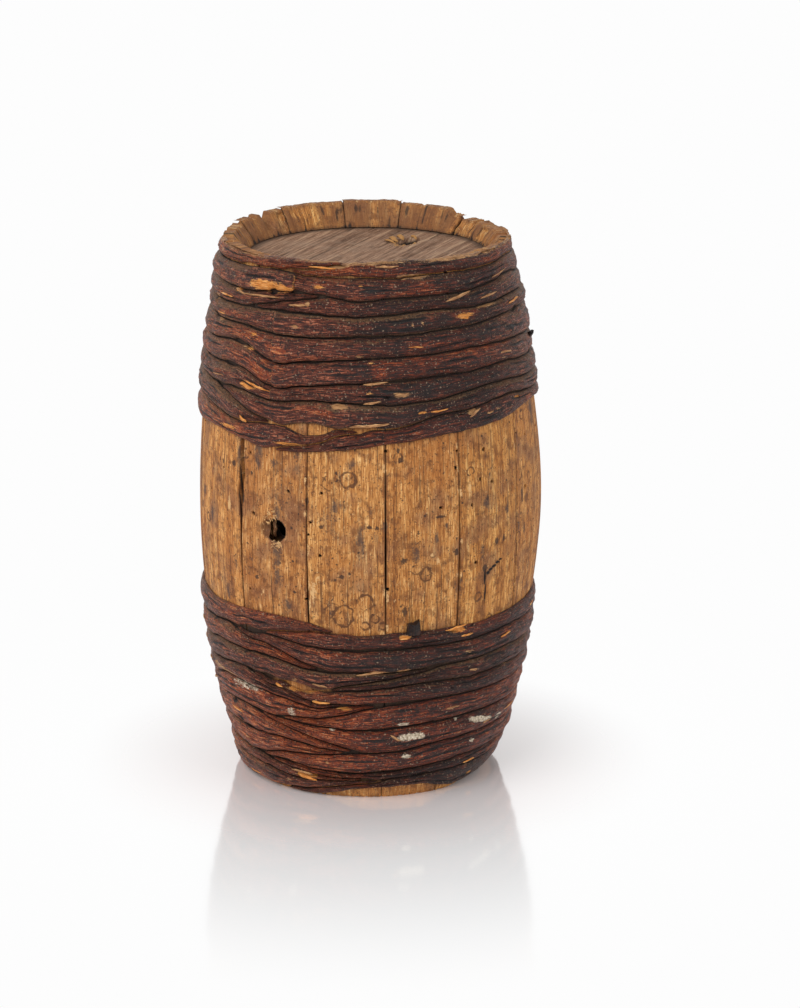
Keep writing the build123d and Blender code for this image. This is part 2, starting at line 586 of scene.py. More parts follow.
@dataclass(frozen=True)
class WeatheredHeadWood(Finish):
    """Head boards that lay open to dust and damp, unpainted.

    Gives the eye a grey brown with fine darker saw lines and no shine.
    """

    name: str = "weathered_head_boards"
    roughness: float = 0.8
    ior: float = 1.38

    def dress(self, tree: Tree, shader: Node) -> None:
        """Sawn grain under dust."""
        # Rings 2 mm and saw lines 0.6 mm wide; fibres, too fine to show, are drawn at 0.5 mm
        rings = self.streaks(tree, 2.2, 120, 3.0)
        lines = self.streaks(tree, 0.6, 34, 2.0, 0.6, 6.0)
        fibres = self.streaks(tree, 0.5, 8, 3.0, 0.7, 2.0)
        grit = self.blotches(tree, 1.1, 3.0, 4.0)
        tone = self.weigh(tree, (rings, 0.35), (lines, 0.3), (fibres, 0.35))
        colour = add_node(tree, "ShaderNodeValToRGB", {0: tone}, ramp=[
            (0.42, "#553a28"), (0.48, "#7a5a44"), (0.53, "#94725a"), (0.6, "#b79778")]).outputs[0]
        colour = self.coats(
            tree, colour, ("#947b66", self.blotches(tree, 8, 5.0), 0.42, 0.72, 0.4),
            ("#4b3427", lines, 0.6, 0.69, 0.7), ("#3f2c20", grit, 0.64, 0.72, 0.5),
            ("#bda28a", self.blotches(tree, 1.6, 2.0, 7.0), 0.68, 0.75, 0.5))
        # The marks layer's second value is dark board joints, with painted shade in the splits,
        # round the head's edge and in the knot hole; its last value is painted shade in the knot
        # hole
        _, soot, chip, spot = self.fields(tree, "marks")
        colour = self.ragged_coats(
            tree, colour, fibres, grit,
            (soot, 0.8, 0.1, 0.9, "#3f2e22", 0.85), (chip, 1.4, 0.35, 0.65, "#a87a46", 0.95),
            (spot, 0.3, 0.3, 0.7, "#0f0a07", 1.0))
        self.surface(tree, shader, colour, 0.5, 0.9, (fibres, 0.5), (lines, 0.5), (grit, 0.3))


@dataclass(frozen=True)
class WithyBark(Finish):
    """Willow rods split in half and bent on with the bark left outside.

    Gives the eye dark purple to red brown with a dull sheen, fine wrinkles along each rod,
    olive dust on what faces up, and bright wood where the bark is torn.
    """

    name: str = "withy_bark"
    roughness: float = 0.5
    ior: float = 1.38

    def dress(self, tree: Tree, shader: Node) -> None:
        """Wrinkled bark, then dust, tears and lichen, then painted shade in crevices, grooves and
        holes.
        """
        # Wrinkles are 1 mm wide; fibres and grit are drawn at 0.5 to 0.9 mm, which is enough to show
        wrinkles = self.streaks(tree, 0.95, 7, 4.0, 0.66)
        fibres = self.streaks(tree, 0.45, 4, 3.0, 0.7, 4.0)
        patches = self.streaks(tree, 5.0, 34, 4.0, 0.6, 8.0)
        veil = self.streaks(tree, 1.8, 13, 4.0, 0.65, 12.0)
        grit = self.blotches(tree, 0.9, 3.0)
        raw, dust, crust, _ = self.fields(tree, "wear")
        redness, grey, hollow, undarkened = self.fields(tree, "age")
        mixed = self.weigh(tree, (wrinkles, 0.65), (fibres, 0.35), (undarkened, 0.125), start=-0.125)
        bark = add_node(tree, "ShaderNodeValToRGB", {0: mixed}, ramp=[
            (0.4, "#140705"), (0.47, "#3d180e"), (0.53, "#642b19"), (0.6, "#b06a4c")]).outputs[0]
        red = add_node(tree, "ShaderNodeValToRGB", {0: mixed}, ramp=[
            (0.4, "#2a0d06"), (0.47, "#652610"), (0.53, "#94421d"), (0.6, "#c98050")]).outputs[0]
        reddened = self.weigh(tree, (patches, 1.2), (redness, 1.0), start=-0.6)
        dusted = self.weigh(tree, (dust, 0.8), (veil, 1.5), (grit, 1.5), start=-1.5)
        colour = self.coats(
            tree, bark, (red, reddened, 0.36, 0.68), ("#6a4f34", dusted, 0.3, 0.75, 0.7),
            ("#100907", self.blotches(tree, 0.9, 2.0, 3.0), 0.55, 0.64, 0.85),
            ("#a38b72", self.blotches(tree, 0.8, 1.0, 2.5), 0.65, 0.72, 0.7))
        wood = add_node(tree, "ShaderNodeValToRGB", {0: fibres}, ramp=[
            (0.32, "#914611"), (0.5, "#d98836"), (0.66, "#f5bf78")]).outputs[0]
        greyed = add_node(tree, "ShaderNodeValToRGB", {0: fibres}, ramp=[
            (0.32, "#6b4426"), (0.5, "#a8774a"), (0.66, "#d8ac78")]).outputs[0]
        lichen = add_node(tree, "ShaderNodeValToRGB", {0: grit}, ramp=[
            (0.36, "#9a8a72"), (0.5, "#c4b59c"), (0.62, "#e4d8c2")]).outputs[0]
        for part, coarse, low, high, over in ((grey, 0.6, 0.45, 0.66, greyed),
                                              (raw, 0.5, 0.42, 0.58, wood),
                                              (crust, 0.7, 0.42, 0.58, lichen)):
            where = self.weigh(tree, (part, 1.0), (fibres, 1.5), (grit, coarse),
                               start=-0.75 - coarse / 2)
            colour = self.coat(tree, colour, over, where, low, high)
        # Painted shade in the crevices between rods, in grooves and in holes
        where = self.weigh(tree, (hollow, 1.0), (grit, 0.4), start=-0.2)
        colour = self.coat(tree, colour, "#0a0605", where, 0.1, 0.9)
        self.surface(tree, shader, colour, 0.9, 1.0,
                     (wrinkles, 1.0), (fibres, 0.6), (grit, 0.6), (veil, 0.4))
        dull = self.weigh(tree, (veil, 0.5), (dust, 0.12), start=0.16)
        tree.links.new(dull, shader.inputs["Roughness"])


@dataclass(frozen=True)
class GlossyTable(Finish):
    """White acrylic table, polished where the keg stands.

    Gives the eye a plain white floor with a soft shadow and a faint mirrored keg, both
    fading into the backdrop.
    """

    name: str = "white_acrylic_table"
    roughness: float = 0.1
    ior: float = 1.6
    lift: float = 0.07

    def dress(self, tree: Tree, shader: Node) -> None:
        """Matt white that is lifted for the camera, under a gloss that fades outwards."""
        place = add_node(tree, "ShaderNodeTexCoord").outputs["Object"]
        away = add_node(tree, "ShaderNodeVectorMath", {0: place}, operation="LENGTH").outputs[1]
        seen = add_node(tree, "ShaderNodeLightPath").outputs["Is Camera Ray"]
        lifted = add_node(tree, "ShaderNodeMapRange", {
            "Value": away, "From Min": 0.054, "From Max": 0.135, "To Min": self.lift, "To Max": 1.0},
            interpolation_type="SMOOTHSTEP").outputs[0]
        lifted = add_node(tree, "ShaderNodeMath", {0: lifted, 1: seen},
                          operation="MULTIPLY").outputs[0]
        matte = add_node(tree, "ShaderNodeBsdfDiffuse", {"Color": linear("#f8efee")}).outputs[0]
        glow = add_node(tree, "ShaderNodeEmission", {"Color": linear("#fdfdfd")}).outputs[0]
        floor = add_node(tree, "ShaderNodeMixShader", {0: lifted, 1: matte, 2: glow}).outputs[0]
        mirror = add_node(tree, "ShaderNodeBsdfGlossy", {
            "Color": (1, 1, 1, 1), "Roughness": self.roughness}).outputs[0]
        facing = add_node(tree, "ShaderNodeFresnel", {"IOR": self.ior}).outputs[0]
        polish = add_node(tree, "ShaderNodeMapRange", {
            "Value": away, "From Min": 0.05, "From Max": 0.28, "To Min": 2.3, "To Max": 0.0},
            interpolation_type="SMOOTHSTEP").outputs[0]
        polish = add_node(tree, "ShaderNodeMath", {0: polish, 1: facing},
                          operation="MULTIPLY").outputs[0]
        table = add_node(tree, "ShaderNodeMixShader", {0: polish, 1: floor, 2: mirror}).outputs[0]
        out = next(n for n in tree.nodes if n.type == "OUTPUT_MATERIAL")
        tree.nodes.remove(shader)
        tree.links.new(table, out.inputs["Surface"])


STAVE_WOOD = ShavedStaveWood()
HEAD_WOOD = WeatheredHeadWood()
BARK = WithyBark()
TABLE = GlossyTable()


@dataclass
class StaveRow:
    """Thirteen staves, worn at the rim, stained and bored by beetles where they are bare."""

    widths: tuple[float, ...] = (
        34.5, 34.0, 33.5, 36.5, 31.5, 31.5, 31.5, 39.0, 33.0, 38.0, 38.0, 40.0, 40.0)
    rim_wear: tuple[float, ...] = (
        1.9, 2.1, 2.0, 1.8, 2.2, 3.4, 4.0, 1.0, 0.0, 0.4, 0.8, 1.8, 1.9)
    # How closely each stave is meshed: finer where the stains of the front are
    meshing: tuple[float, ...] = (
        0.45, 0.45, 0.45, 0.45, 0.5, 0.65, 0.7, 0.7, 0.7, 0.7, 0.7, 0.65, 0.5)
    bung_side: float = -90.0
    bung_off_middle: float = 3.3
    bung_height: float = 123.0
    bung_radius: float = 5.0
    joint_gap: float = 0.2
    croze_play: float = 0.15
    foot_end: float = 8.0
    foot_reach: float = 9.0
    rim_start: float = 228.0
    grain_shift: float = 317.0
    bare_low: float = 73.0
    bare_high: float = 173.0
    coarse: float = 1.7
    arris: float = 0.7
    arris_drop: float = 0.4
    flatness: float = 0.2
    rim_thinning: float = 1.7
    # Open joints after each stave: how far at the worst, and at what height
    joint_open: tuple[Pair, ...] = (
        (0.55, 92), (0.5, 115), (0.4, 105), (0.35, 95), (0.4, 130), (0.6, 90), (0.7, 120),
        (0.5, 100), (0.7, 130), (0.5, 110), (0.8, 120), (0.6, 100), (2.0, 144))
    # Tone of each stave against the common colour
    tints: tuple[str, ...] = (
        "#f1e5dc", "#faf3ea", "#f6ecdf", "#fff6e2", "#fff5e6", "#f8ecdc", "#f1e6d8",
        "#fbf0e2", "#f3e9dd", "#f8efdf", "#efe4d6", "#f6ead9", "#fff2e2")
    # Places where more of the rim is gone: direction, half width in degrees, depth
    rim_breaks: tuple[Triple, ...] = (
        (-128.8, 2.1, 4.4), (-121.0, 1.4, 1.2), (137.0, 3.6, 2.6), (124.0, 1.1, 2.0),
        (96.0, 1.2, 1.6), (-98.0, 1.0, 1.2), (-84.0, 5.0, 1.4), (78.0, 5.0, 1.6))
    # Places where the foot is worn away: direction, half width in degrees, depth
    foot_breaks: tuple[Triple, ...] = ((78.0, 44.0, 4.2),)
    # Places where the rim's inside is bright raw wood: direction, half width, low, high
    rim_raw: tuple[tuple[float, float, float, float], ...] = (
        (-147.0, 5.0, 235.5, 241.0), (-137.5, 2.6, 230.5, 238.0), (128.0, 9.0, 229.0, 238.5),
        (112.0, 5.0, 229.5, 235.0))
    # Places where a gap between hoops shows the stave, so that no painted shade is laid on it there:
    # direction, height, half sizes
    bright_gaps: tuple[tuple[float, float, float, float], ...] = (
        (-20.0, 168.6, 11.0, 3.2), (-26.0, 52.8, 10.0, 2.6))
    marks: MarkMap = field(default_factory=lambda: MarkMap(()))

    def turns(self) -> list[Pair]:
        """Lay the staves out round the axis.

        Returns:
            Start and sweep of each stave in degrees.
        """
        sweeps = [360 * width / sum(self.widths) for width in self.widths]
        start = (self.bung_side - degrees(self.bung_off_middle / FORM.bilge_radius)
                 - sweeps[0] / 2)
        spans = []
        for sweep in sweeps:
            spans.append((start, sweep))
            start += sweep
        return spans

    def outline(self, mesh: Mesh, rim: float, fine: float) -> None:
        """Draw a stave's half section on the +X side, worn down to `rim`.

        Args:
            mesh: empty mesh that gets the section's edges and face.
            rim: height of the stave's upper end.
            fine: length of an edge where the stave is bare.
        """
        top_head, foot_head = FORM.height - FORM.head_depth, FORM.head_depth
        top_inner = FORM.outside(top_head) - FORM.end_wall
        foot_inner = FORM.outside(foot_head) - FORM.end_wall
        worn = (rim - top_head) / FORM.head_depth
        rim_inner = top_inner + worn * (FORM.top_radius - FORM.rim_wall - top_inner)
        play = self.croze_play
        groove_top, groove_low = top_head + play, top_head - FORM.head_edge - play
        foot_top, foot_low = foot_head + FORM.head_edge + play, foot_head - play
        outer, inner = FORM.outside, FORM.inside
        corners: list[tuple[float, float, float, Callable | None]] = [
            (outer(0), 0.0, 0.7, outer), (outer(self.foot_end), self.foot_end, self.coarse, outer),
            (outer(self.bare_low), self.bare_low, fine, outer),
            (outer(self.bare_high), self.bare_high, self.coarse, outer),
            (outer(self.rim_start), self.rim_start, 0.7, outer), (outer(rim), rim, 0.7, None),
            (rim_inner, rim, 0.6, None), (top_inner, groove_top, 1.0, None),
            (top_inner + FORM.croze_depth, groove_top, 1.5, None),
            (top_inner + FORM.croze_depth, groove_low, 1.0, None),
            (inner(groove_low), groove_low, 7.0, inner), (inner(foot_top), foot_top, 1.0, None),
            (foot_inner + FORM.croze_depth, foot_top, 1.5, None),
            (foot_inner + FORM.croze_depth, foot_low, 1.0, None),
            (foot_inner, foot_low, 1.2, None), (FORM.foot_radius - FORM.rim_wall, 0.0, 1.0, None),
        ]
        points = [mesh.verts.new((radius, 0, z)) for radius, z, _, _ in corners]
        for index, (_, _, step, curve) in enumerate(corners):
            following = points[(index + 1) % len(points)]
            edge = mesh.edges.new((points[index], following))
            last, begin, run = points[index], points[index].co.copy(), edge.calc_length()
            parts = max(1, round(run / step))
            for part in range(1, parts):
                _, point = bmesh.utils.edge_split(edge, last, 0.5)
                point.co = begin.lerp(following.co, part / parts)
                if curve:
                    point.co.x = curve(point.co.z)
                edge = next(e for e in point.link_edges if e.other_vert(point) is not last)
                last = point
        bmesh.ops.contextual_create(mesh, geom=mesh.edges[:])

    def weather(self, side: float, z: float) -> tuple[list[float], list[float], float]:
        """What the marks do at one point of the outside.

        Args:
            side: direction from the front.
            z: height.

        Returns:
            Ring, soot, chip and spot, then stain and hollow, all from 0 to 1, and how far
            the surface is sunk. Hollow is painted shade in beetle holes, checks and torn hollows.
        """
        ring = soot = chip = spot = stain = hollow = sunk = 0.0
        for mark in self.marks.near(side, z):
            off = apart(side, mark.side)
            across = radians(off) * FORM.bilge_radius
            if abs(across) > mark.wide * 1.8 + 1 or abs(z - mark.z) > mark.tall * 1.8 + 1:
                continue
            key = mark.side + mark.z
            across += 0.22 * mark.wide * wobble(key, across * 0.5, z * 0.5)
            up = z - mark.z + 0.22 * mark.tall * wobble(key + 3, across * 0.5, z * 0.5)
            reach = hypot(across / mark.wide, up / mark.tall)
            if mark.kind is RING:
                line = 1 - abs(reach - 0.85) * min(mark.wide, mark.tall) / 1.1
                gap = 0.75 + 0.6 * wobble(key + 5, atan2(up, across) * 0.9)
                ring = max(ring, mark.strength * line * min(1.0, gap))
                stain = max(stain, 0.3 * mark.strength * smooth(reach, 1.0, 0.7))
            elif mark.kind is STAIN:
                stain = max(stain, mark.strength * smooth(reach, 1.2, 0.1))
            elif mark.kind is SOOT:
                patch = 0.8 + 0.6 * wobble(key + 7, across * 0.6, z * 0.25)
                soot = max(soot, mark.strength * patch * smooth(reach, 1.4, 0.0))
            elif mark.kind is SPOT:
                spot = max(spot, (0.75 + 0.25 * mark.strength) * max(0.0, 1 - reach / 2))
            # Beetle holes, checks and torn hollows are sunk and painted dark as shade
            elif mark.kind is WORM:
                hollow = max(hollow, smooth(reach, 1.15, 0.75))
                sunk = max(sunk, 1.6 * smooth(reach, 1.1, 0.7))
            elif mark.kind is CHIP:
                chip = max(chip, mark.strength * 1.1 * max(0.0, 1 - reach / 2))
                sunk = max(sunk, 0.12 * smooth(reach, 1.0, 0.5))
            elif mark.kind is TORN:
                stain = max(stain, 1.1 * smooth(reach, 1.25, 0.6))
                hollow = max(hollow, smooth(reach, 0.95, 0.3) * (
                    0.4 + 0.6 * wobble(key + 11, across * 0.9, z * 0.5)))
                chip = max(chip, smooth(reach, 1.2, 0.8) * (
                    0.35 + 0.5 * wobble(key + 9, across * 1.5, z * 0.9)))
                sunk = max(sunk, 2.6 * smooth(reach, 1.1, 0.25))
            elif mark.kind is CRACK:
                hollow = max(hollow, mark.strength * smooth(reach, 1.3, 0.4))
                sunk = max(sunk, 0.5 * smooth(reach, 1.1, 0.3))
        return [ring, soot, chip, spot], [stain, hollow], sunk

    def rim_loss(self, side: float) -> float:
        """How much more of the rim is missing in one direction.

        Args:
            side: direction from the front.

        Returns:
            The height that is gone.
        """
        loss = 0.35 + 0.5 * wobble(2.0, side * 0.12) + 0.12 * wobble(4.0, side * 0.9)
        loss += 0.7 * smooth(wobble(8.0, side * 0.28), 0.3, 0.6)
        for place, wide, deep in self.rim_breaks:
            off = abs(apart(side, place))
            rough = deep * (1 + 0.35 * wobble(6.0, side * 1.3))
            loss = max(loss, rough * smooth(off, wide * 1.7, wide * 0.6))
        return max(0.0, loss)

    def foot_loss(self, side: float) -> float:
        """How much of the foot is missing in one direction.

        Args:
            side: direction from the front.

        Returns:
            The height that is gone.
        """
        loss = max(0.0, 0.6 * wobble(9, side * 0.45) + 0.3 * wobble(8, side * 1.9))
        for place, wide, deep in self.foot_breaks:
            off = abs(apart(side, place))
            rough = deep * (1 + 0.1 * wobble(10, side * 0.5))
            loss = max(loss, rough * smooth(off, wide, wide * 0.25))
        return loss

    def under_hoops(self, side: float, z: float) -> float:
        """How dark a stave is beneath the hoops, where no light falls.

        Args:
            side: direction from the front.
            z: height.

        Returns:
            0 on bare wood to 1 where it is darkest.
        """
        dark = smooth(z, 5.0, 10.0) * smooth(z, 80.0, 75.0)
        dark = max(dark, smooth(z, 168.0, 173.0) * smooth(z, 232.0, 226.0))
        for place, height, wide, tall in self.bright_gaps:
            off = apart(side, place)
            dark *= smooth(hypot(off / wide, (z - height) / tall), 0.9, 1.5)
        return dark

    def rim(self, side: float, z: float, top: float, outer: bool, edge: float
            ) -> tuple[float, float, float, float, float]:
        """Shape and tone of the thin rim that stands above the head.

        Args:
            side: direction from the front.
            z: height.
            top: height of this stave's end.
            outer: whether the point lies on the keg's outside.
            edge: distance to the nearest joint.

        Returns:
            Change of radius, new height, brown tone, chip, and darkening that is dirt along the
            joints and in blotches with painted shade along the foot of the inside.
        """
        base = FORM.height - FORM.head_depth
        lip = smooth(z, base, top)
        loss = self.rim_loss(side)
        thin = 0.4 * wobble(80.5, side * 0.4, z * 0.3) * lip
        chip = grime_and_shade = 0.0
        if outer:
            shift = -0.7 * lip * max(0.0, wobble(5, side * 0.3)) - abs(thin) * 0.5
            shift -= 0.7 * smooth(z, top - 1.3, top)
            tone = 0.5 * smooth(z, 232.0, 236.0)
        else:
            shift = thin + self.rim_thinning * lip ** 2 + 0.4 * smooth(z, top - 1.0, top)
            ridges = 0.35 * wobble(90.5, side * 0.5, z * 0.05)
            ridges += 0.25 * wobble(92.5, side * 1.5, z * 0.25)
            shift += ridges * (0.3 + 0.7 * abs(cos(radians(side)))) + 0.4 * smooth(edge, 0.8, 0.0)
            tone = 0.7 + 0.8 * wobble(33, side * 0.22, z * 0.08)
            # Painted shade along the foot of the inside, where it meets the head, with dirt along
            # the joints and in blotches
            grime_and_shade = 0.5 * smooth(z, base + 1.8, base + 0.3) + 0.5 * smooth(edge, 0.7, 0.1)
            grime_and_shade += 0.7 * smooth(wobble(35, side * 0.6, z * 0.15), 0.22, 0.6)
        height = z - loss * lip
        for place, wide, low, high in self.rim_raw:
            off = abs(apart(side, place)) + 1.2 * wobble(41, side * 0.6, z * 0.8)
            patch = smooth(off, wide, wide * 0.6) * smooth(z, low - 0.8, low + 0.6)
            patch *= smooth(z, high + 0.6, high - 0.6) * (0.0 if outer else 1.0)
            chip = max(chip, 0.38 * patch)
            tone *= 1 - 0.6 * patch
            shift += 0.9 * patch * (1 + wobble(43, side * 1.2, z * 0.3))
        if z > top - 0.8:
            tone = 0.6
            chip = max(chip, 0.3 + 0.42 * wobble(7, side * 0.8))
        return shift, height, tone, chip, min(1.0, grime_and_shade)

    def build_stave(self, index: int, start: float, sweep: float) -> Mesh:
        """Spin one stave from its section, then wear, stain and bore it.

        Args:
            index: its place in the row.
            start: direction of its first joint, in degrees about the axis.
            sweep: how far it goes round.

        Returns:
            The stave's mesh in millimetres, with its grain map and its marks.
        """
        top, fine = FORM.height - self.rim_wear[index], self.meshing[index]
        gap = degrees(self.joint_gap / FORM.bilge_radius)
        sweep -= gap
        start += gap / 2
        mesh = bmesh.new()
        self.outline(mesh, top, fine)
        bmesh.ops.spin(mesh, geom=mesh.verts[:] + mesh.edges[:] + mesh.faces[:],
                       cent=(0, 0, 0), axis=(0, 0, 1), dvec=(0, 0, 0), angle=radians(sweep),
                       space=Matrix.Identity(4),
                       steps=round(radians(sweep) * FORM.bilge_radius / fine), use_merge=False,
                       use_normal_flip=False, use_duplicate=False)
        layers = painted_layers(mesh, "marks", "wear", "tint")
        tone = Vector(linear(self.tints[index]))
        before, after = self.joint_open[index - 1], self.joint_open[index]
        places: list[Pair] = []
        mesh.verts.index_update()
        for vert in mesh.verts:
            x, y, z = vert.co
            radius, turn = hypot(x, y), degrees(atan2(y, x))
            places.append((radians(turn) * FORM.bilge_radius + index * self.grain_shift, z))
            side = start + turn - FRONT
            outer = radius > FORM.outside(z) - 0.05
            marks, wear = [0.0, 0.0, 0.0, 0.0], [0.0, 0.0, 0.0, 0.0]
            left, right = radians(turn) * radius, radians(sweep - turn) * radius
            edge = min(left, right)
            opening, worst = before if left < right else after
            slack = 0.5 * opening * (0.2 + exp(-((z - worst) / 22) ** 2))
            slack *= 1 + 0.6 * wobble(index + (left >= right), z * 0.08)
            turn += (degrees(slack * max(0.0, 1 - edge / 4) / radius)
                     * (1 if left < right else -1))
            radius += FORM.swelled(side, z)
            if outer:
                # Painted shade on the stave beneath the hoops
                wear[2] = 0.95 * self.under_hoops(side, z)
                if self.bare_low < z < self.bare_high:
                    marks, wear[:2], sunk = self.weather(side, z)
                    radius -= sunk
                middle = 1 - (2 * turn / sweep - 1) ** 2
                radius -= self.flatness * middle
                radius += 0.13 * wobble(index, turn * 0.12, z * 0.03)
                radius += 0.07 * wobble(index + 40, turn * 0.55, z * 0.015)
                radius -= self.arris_drop * max(0.0, 1 - edge / self.arris) ** 2
                stained = smooth(edge, 1.1, 0.2) * (0.6 + 0.5 * wobble(index + 60, z * 0.2))
                wear[0] = max(wear[0], stained)
                marks[2] = max(marks[2], 0.62 * smooth(edge, 1.6, 0.9)
                               * smooth(wobble(index + 70, z * 0.14, left > right), 0.25, 0.5))
            if z > FORM.height - FORM.head_depth:
                shift, z, wear[3], marks[2], grime_and_shade = self.rim(side, z, top, outer, edge)
                radius += shift
                wear[2] = max(wear[2] if outer else 0.0, grime_and_shade)
            if z < self.foot_reach:
                wear[0] = max(wear[0], 0.35 * smooth(z, 5.0, 4.0))
                z += self.foot_loss(side) * smooth(z, self.foot_reach, 0.0)
            paint(vert, layers, (marks, wear, tone))
            angle = radians(turn)
            vert.co = (radius * cos(angle), radius * sin(angle), z)
        lay_grain(mesh, lambda vert: places[vert.index])
        bmesh.ops.rotate(mesh, cent=(0, 0, 0), verts=mesh.verts,
                         matrix=Matrix.Rotation(radians(start), 3, "Z"))
        return mesh

    def bore(self, piece: bpy.types.Object) -> None:
        """Cut the bung hole, ragged and torn open to the left, through the bung stave.

        Args:
            piece: the bung stave.
        """
        tool = bmesh.new()
        bmesh.ops.create_cone(tool, cap_ends=True, segments=56, radius1=self.bung_radius,
                              radius2=self.bung_radius, depth=30)
        bmesh.ops.subdivide_edges(
            tool, edges=[e for e in tool.edges if abs(e.verts[0].co.z - e.verts[1].co.z) > 1],
            cuts=24)
        for vert in tool.verts:
            spread = atan2(vert.co.y, vert.co.x)
            mouth = smooth(vert.co.z, 8.0, 15.0)
            torn = max(0.0, cos(spread - 3.0)) ** 1.5
            size = 0.93 + 0.07 * wobble(21, cos(spread) * 1.3, sin(spread) * 1.3)
            size += 0.09 * wobble(22, spread * 2.6, vert.co.z * 0.5)
            size += 0.05 * wobble(24, spread * 6.0, vert.co.z * 0.9)
            size += mouth * 0.42 * torn
            vert.co.x *= size * 0.9
            vert.co.y *= size
        place = (Matrix.Translation((0, -(FORM.bilge_radius - 14), self.bung_height))
                 @ Matrix.Rotation(radians(90), 4, "X"))
        bmesh.ops.transform(tool, matrix=place, verts=tool.verts)
        bmesh.ops.scale(tool, vec=(MM, MM, MM), verts=tool.verts)
        bmesh.ops.recalc_face_normals(tool, faces=tool.faces)
        cutter = to_object(tool, "bung_bore")
        cut = piece.modifiers.new("bung_hole", "BOOLEAN")
        cut.operation, cut.solver, cut.object = "DIFFERENCE", "EXACT", cutter
        depsgraph = bpy.context.evaluated_depsgraph_get()
        bored = bpy.data.meshes.new_from_object(piece.evaluated_get(depsgraph))
        piece.modifiers.clear()
        piece.data = bored
        bpy.data.objects.remove(cutter)
        marks, wear, tint = (bored.attributes[name] for name in ("marks", "wear", "tint"))
        for vert in bored.vertices:
            x, y, z = (value / MM for value in vert.co)
            up = z - self.bung_height
            reach = hypot(x, up)
            if y > -20 or reach > self.bung_radius * 2.6:
                continue
            depth = FORM.outside(z) - hypot(x, y)
            # Inside the bore the wood is stained brown and painted darker the deeper it lies, as
            # shade
            if reach < self.bung_radius * 1.5 and depth > 0.35:
                torn = 0.4 + 0.5 * wobble(33, x * 1.4, z * 0.8)
                tint.data[vert.index].color = linear(self.tints[0])
                marks.data[vert.index].color = (0, 0.1, torn * smooth(depth, 2.5, 0.8), 0)
                wear.data[vert.index].color = (0.9, 0, 0.1 + 0.85 * smooth(depth, 1.4, 5.0), 0.4)
                continue
            frayed = smooth(hypot(x + 1.2, up - 5.6), 2.6, 0.8)
            frayed = max(frayed, smooth(hypot(x - 0.4, up + 6.2), 3.0, 0.8))
            frayed *= 0.5 + 0.5 * wobble(31, x * 1.6, z * 1.1)
            colour = marks.data[vert.index].color
            smudge = 0.75 * smooth(hypot(x / 0.75, (up + 9) / 1.6), 5.0, 0.0)
            smudge = max(smudge, 0.6 * smooth(hypot(x / 0.8, (up - 8) / 1.6), 4.0, 0.0))
            marks.data[vert.index].color = (colour[0], max(colour[1], smudge),
                                            max(colour[2], frayed), colour[3])
            brown = wear.data[vert.index].color
            rubbed = 0.8 * smooth(reach, 7.4, 5.2) * smooth(x, 3.0, -3.0)
            wear.data[vert.index].color = (max(brown[0], rubbed), *brown[1:])

    def build(self) -> None:
        """Build and dress every stave."""
        for index, (start, sweep) in enumerate(self.turns()):
            name = f"stave_{index + 1:02d}" if index else "stave_bung"
            mesh = self.build_stave(index, start, sweep)
            piece = finish_piece(mesh, f"aged_{name}", STAVE_WOOD.material(), (name,))
            if index == 0:
                self.bore(piece)


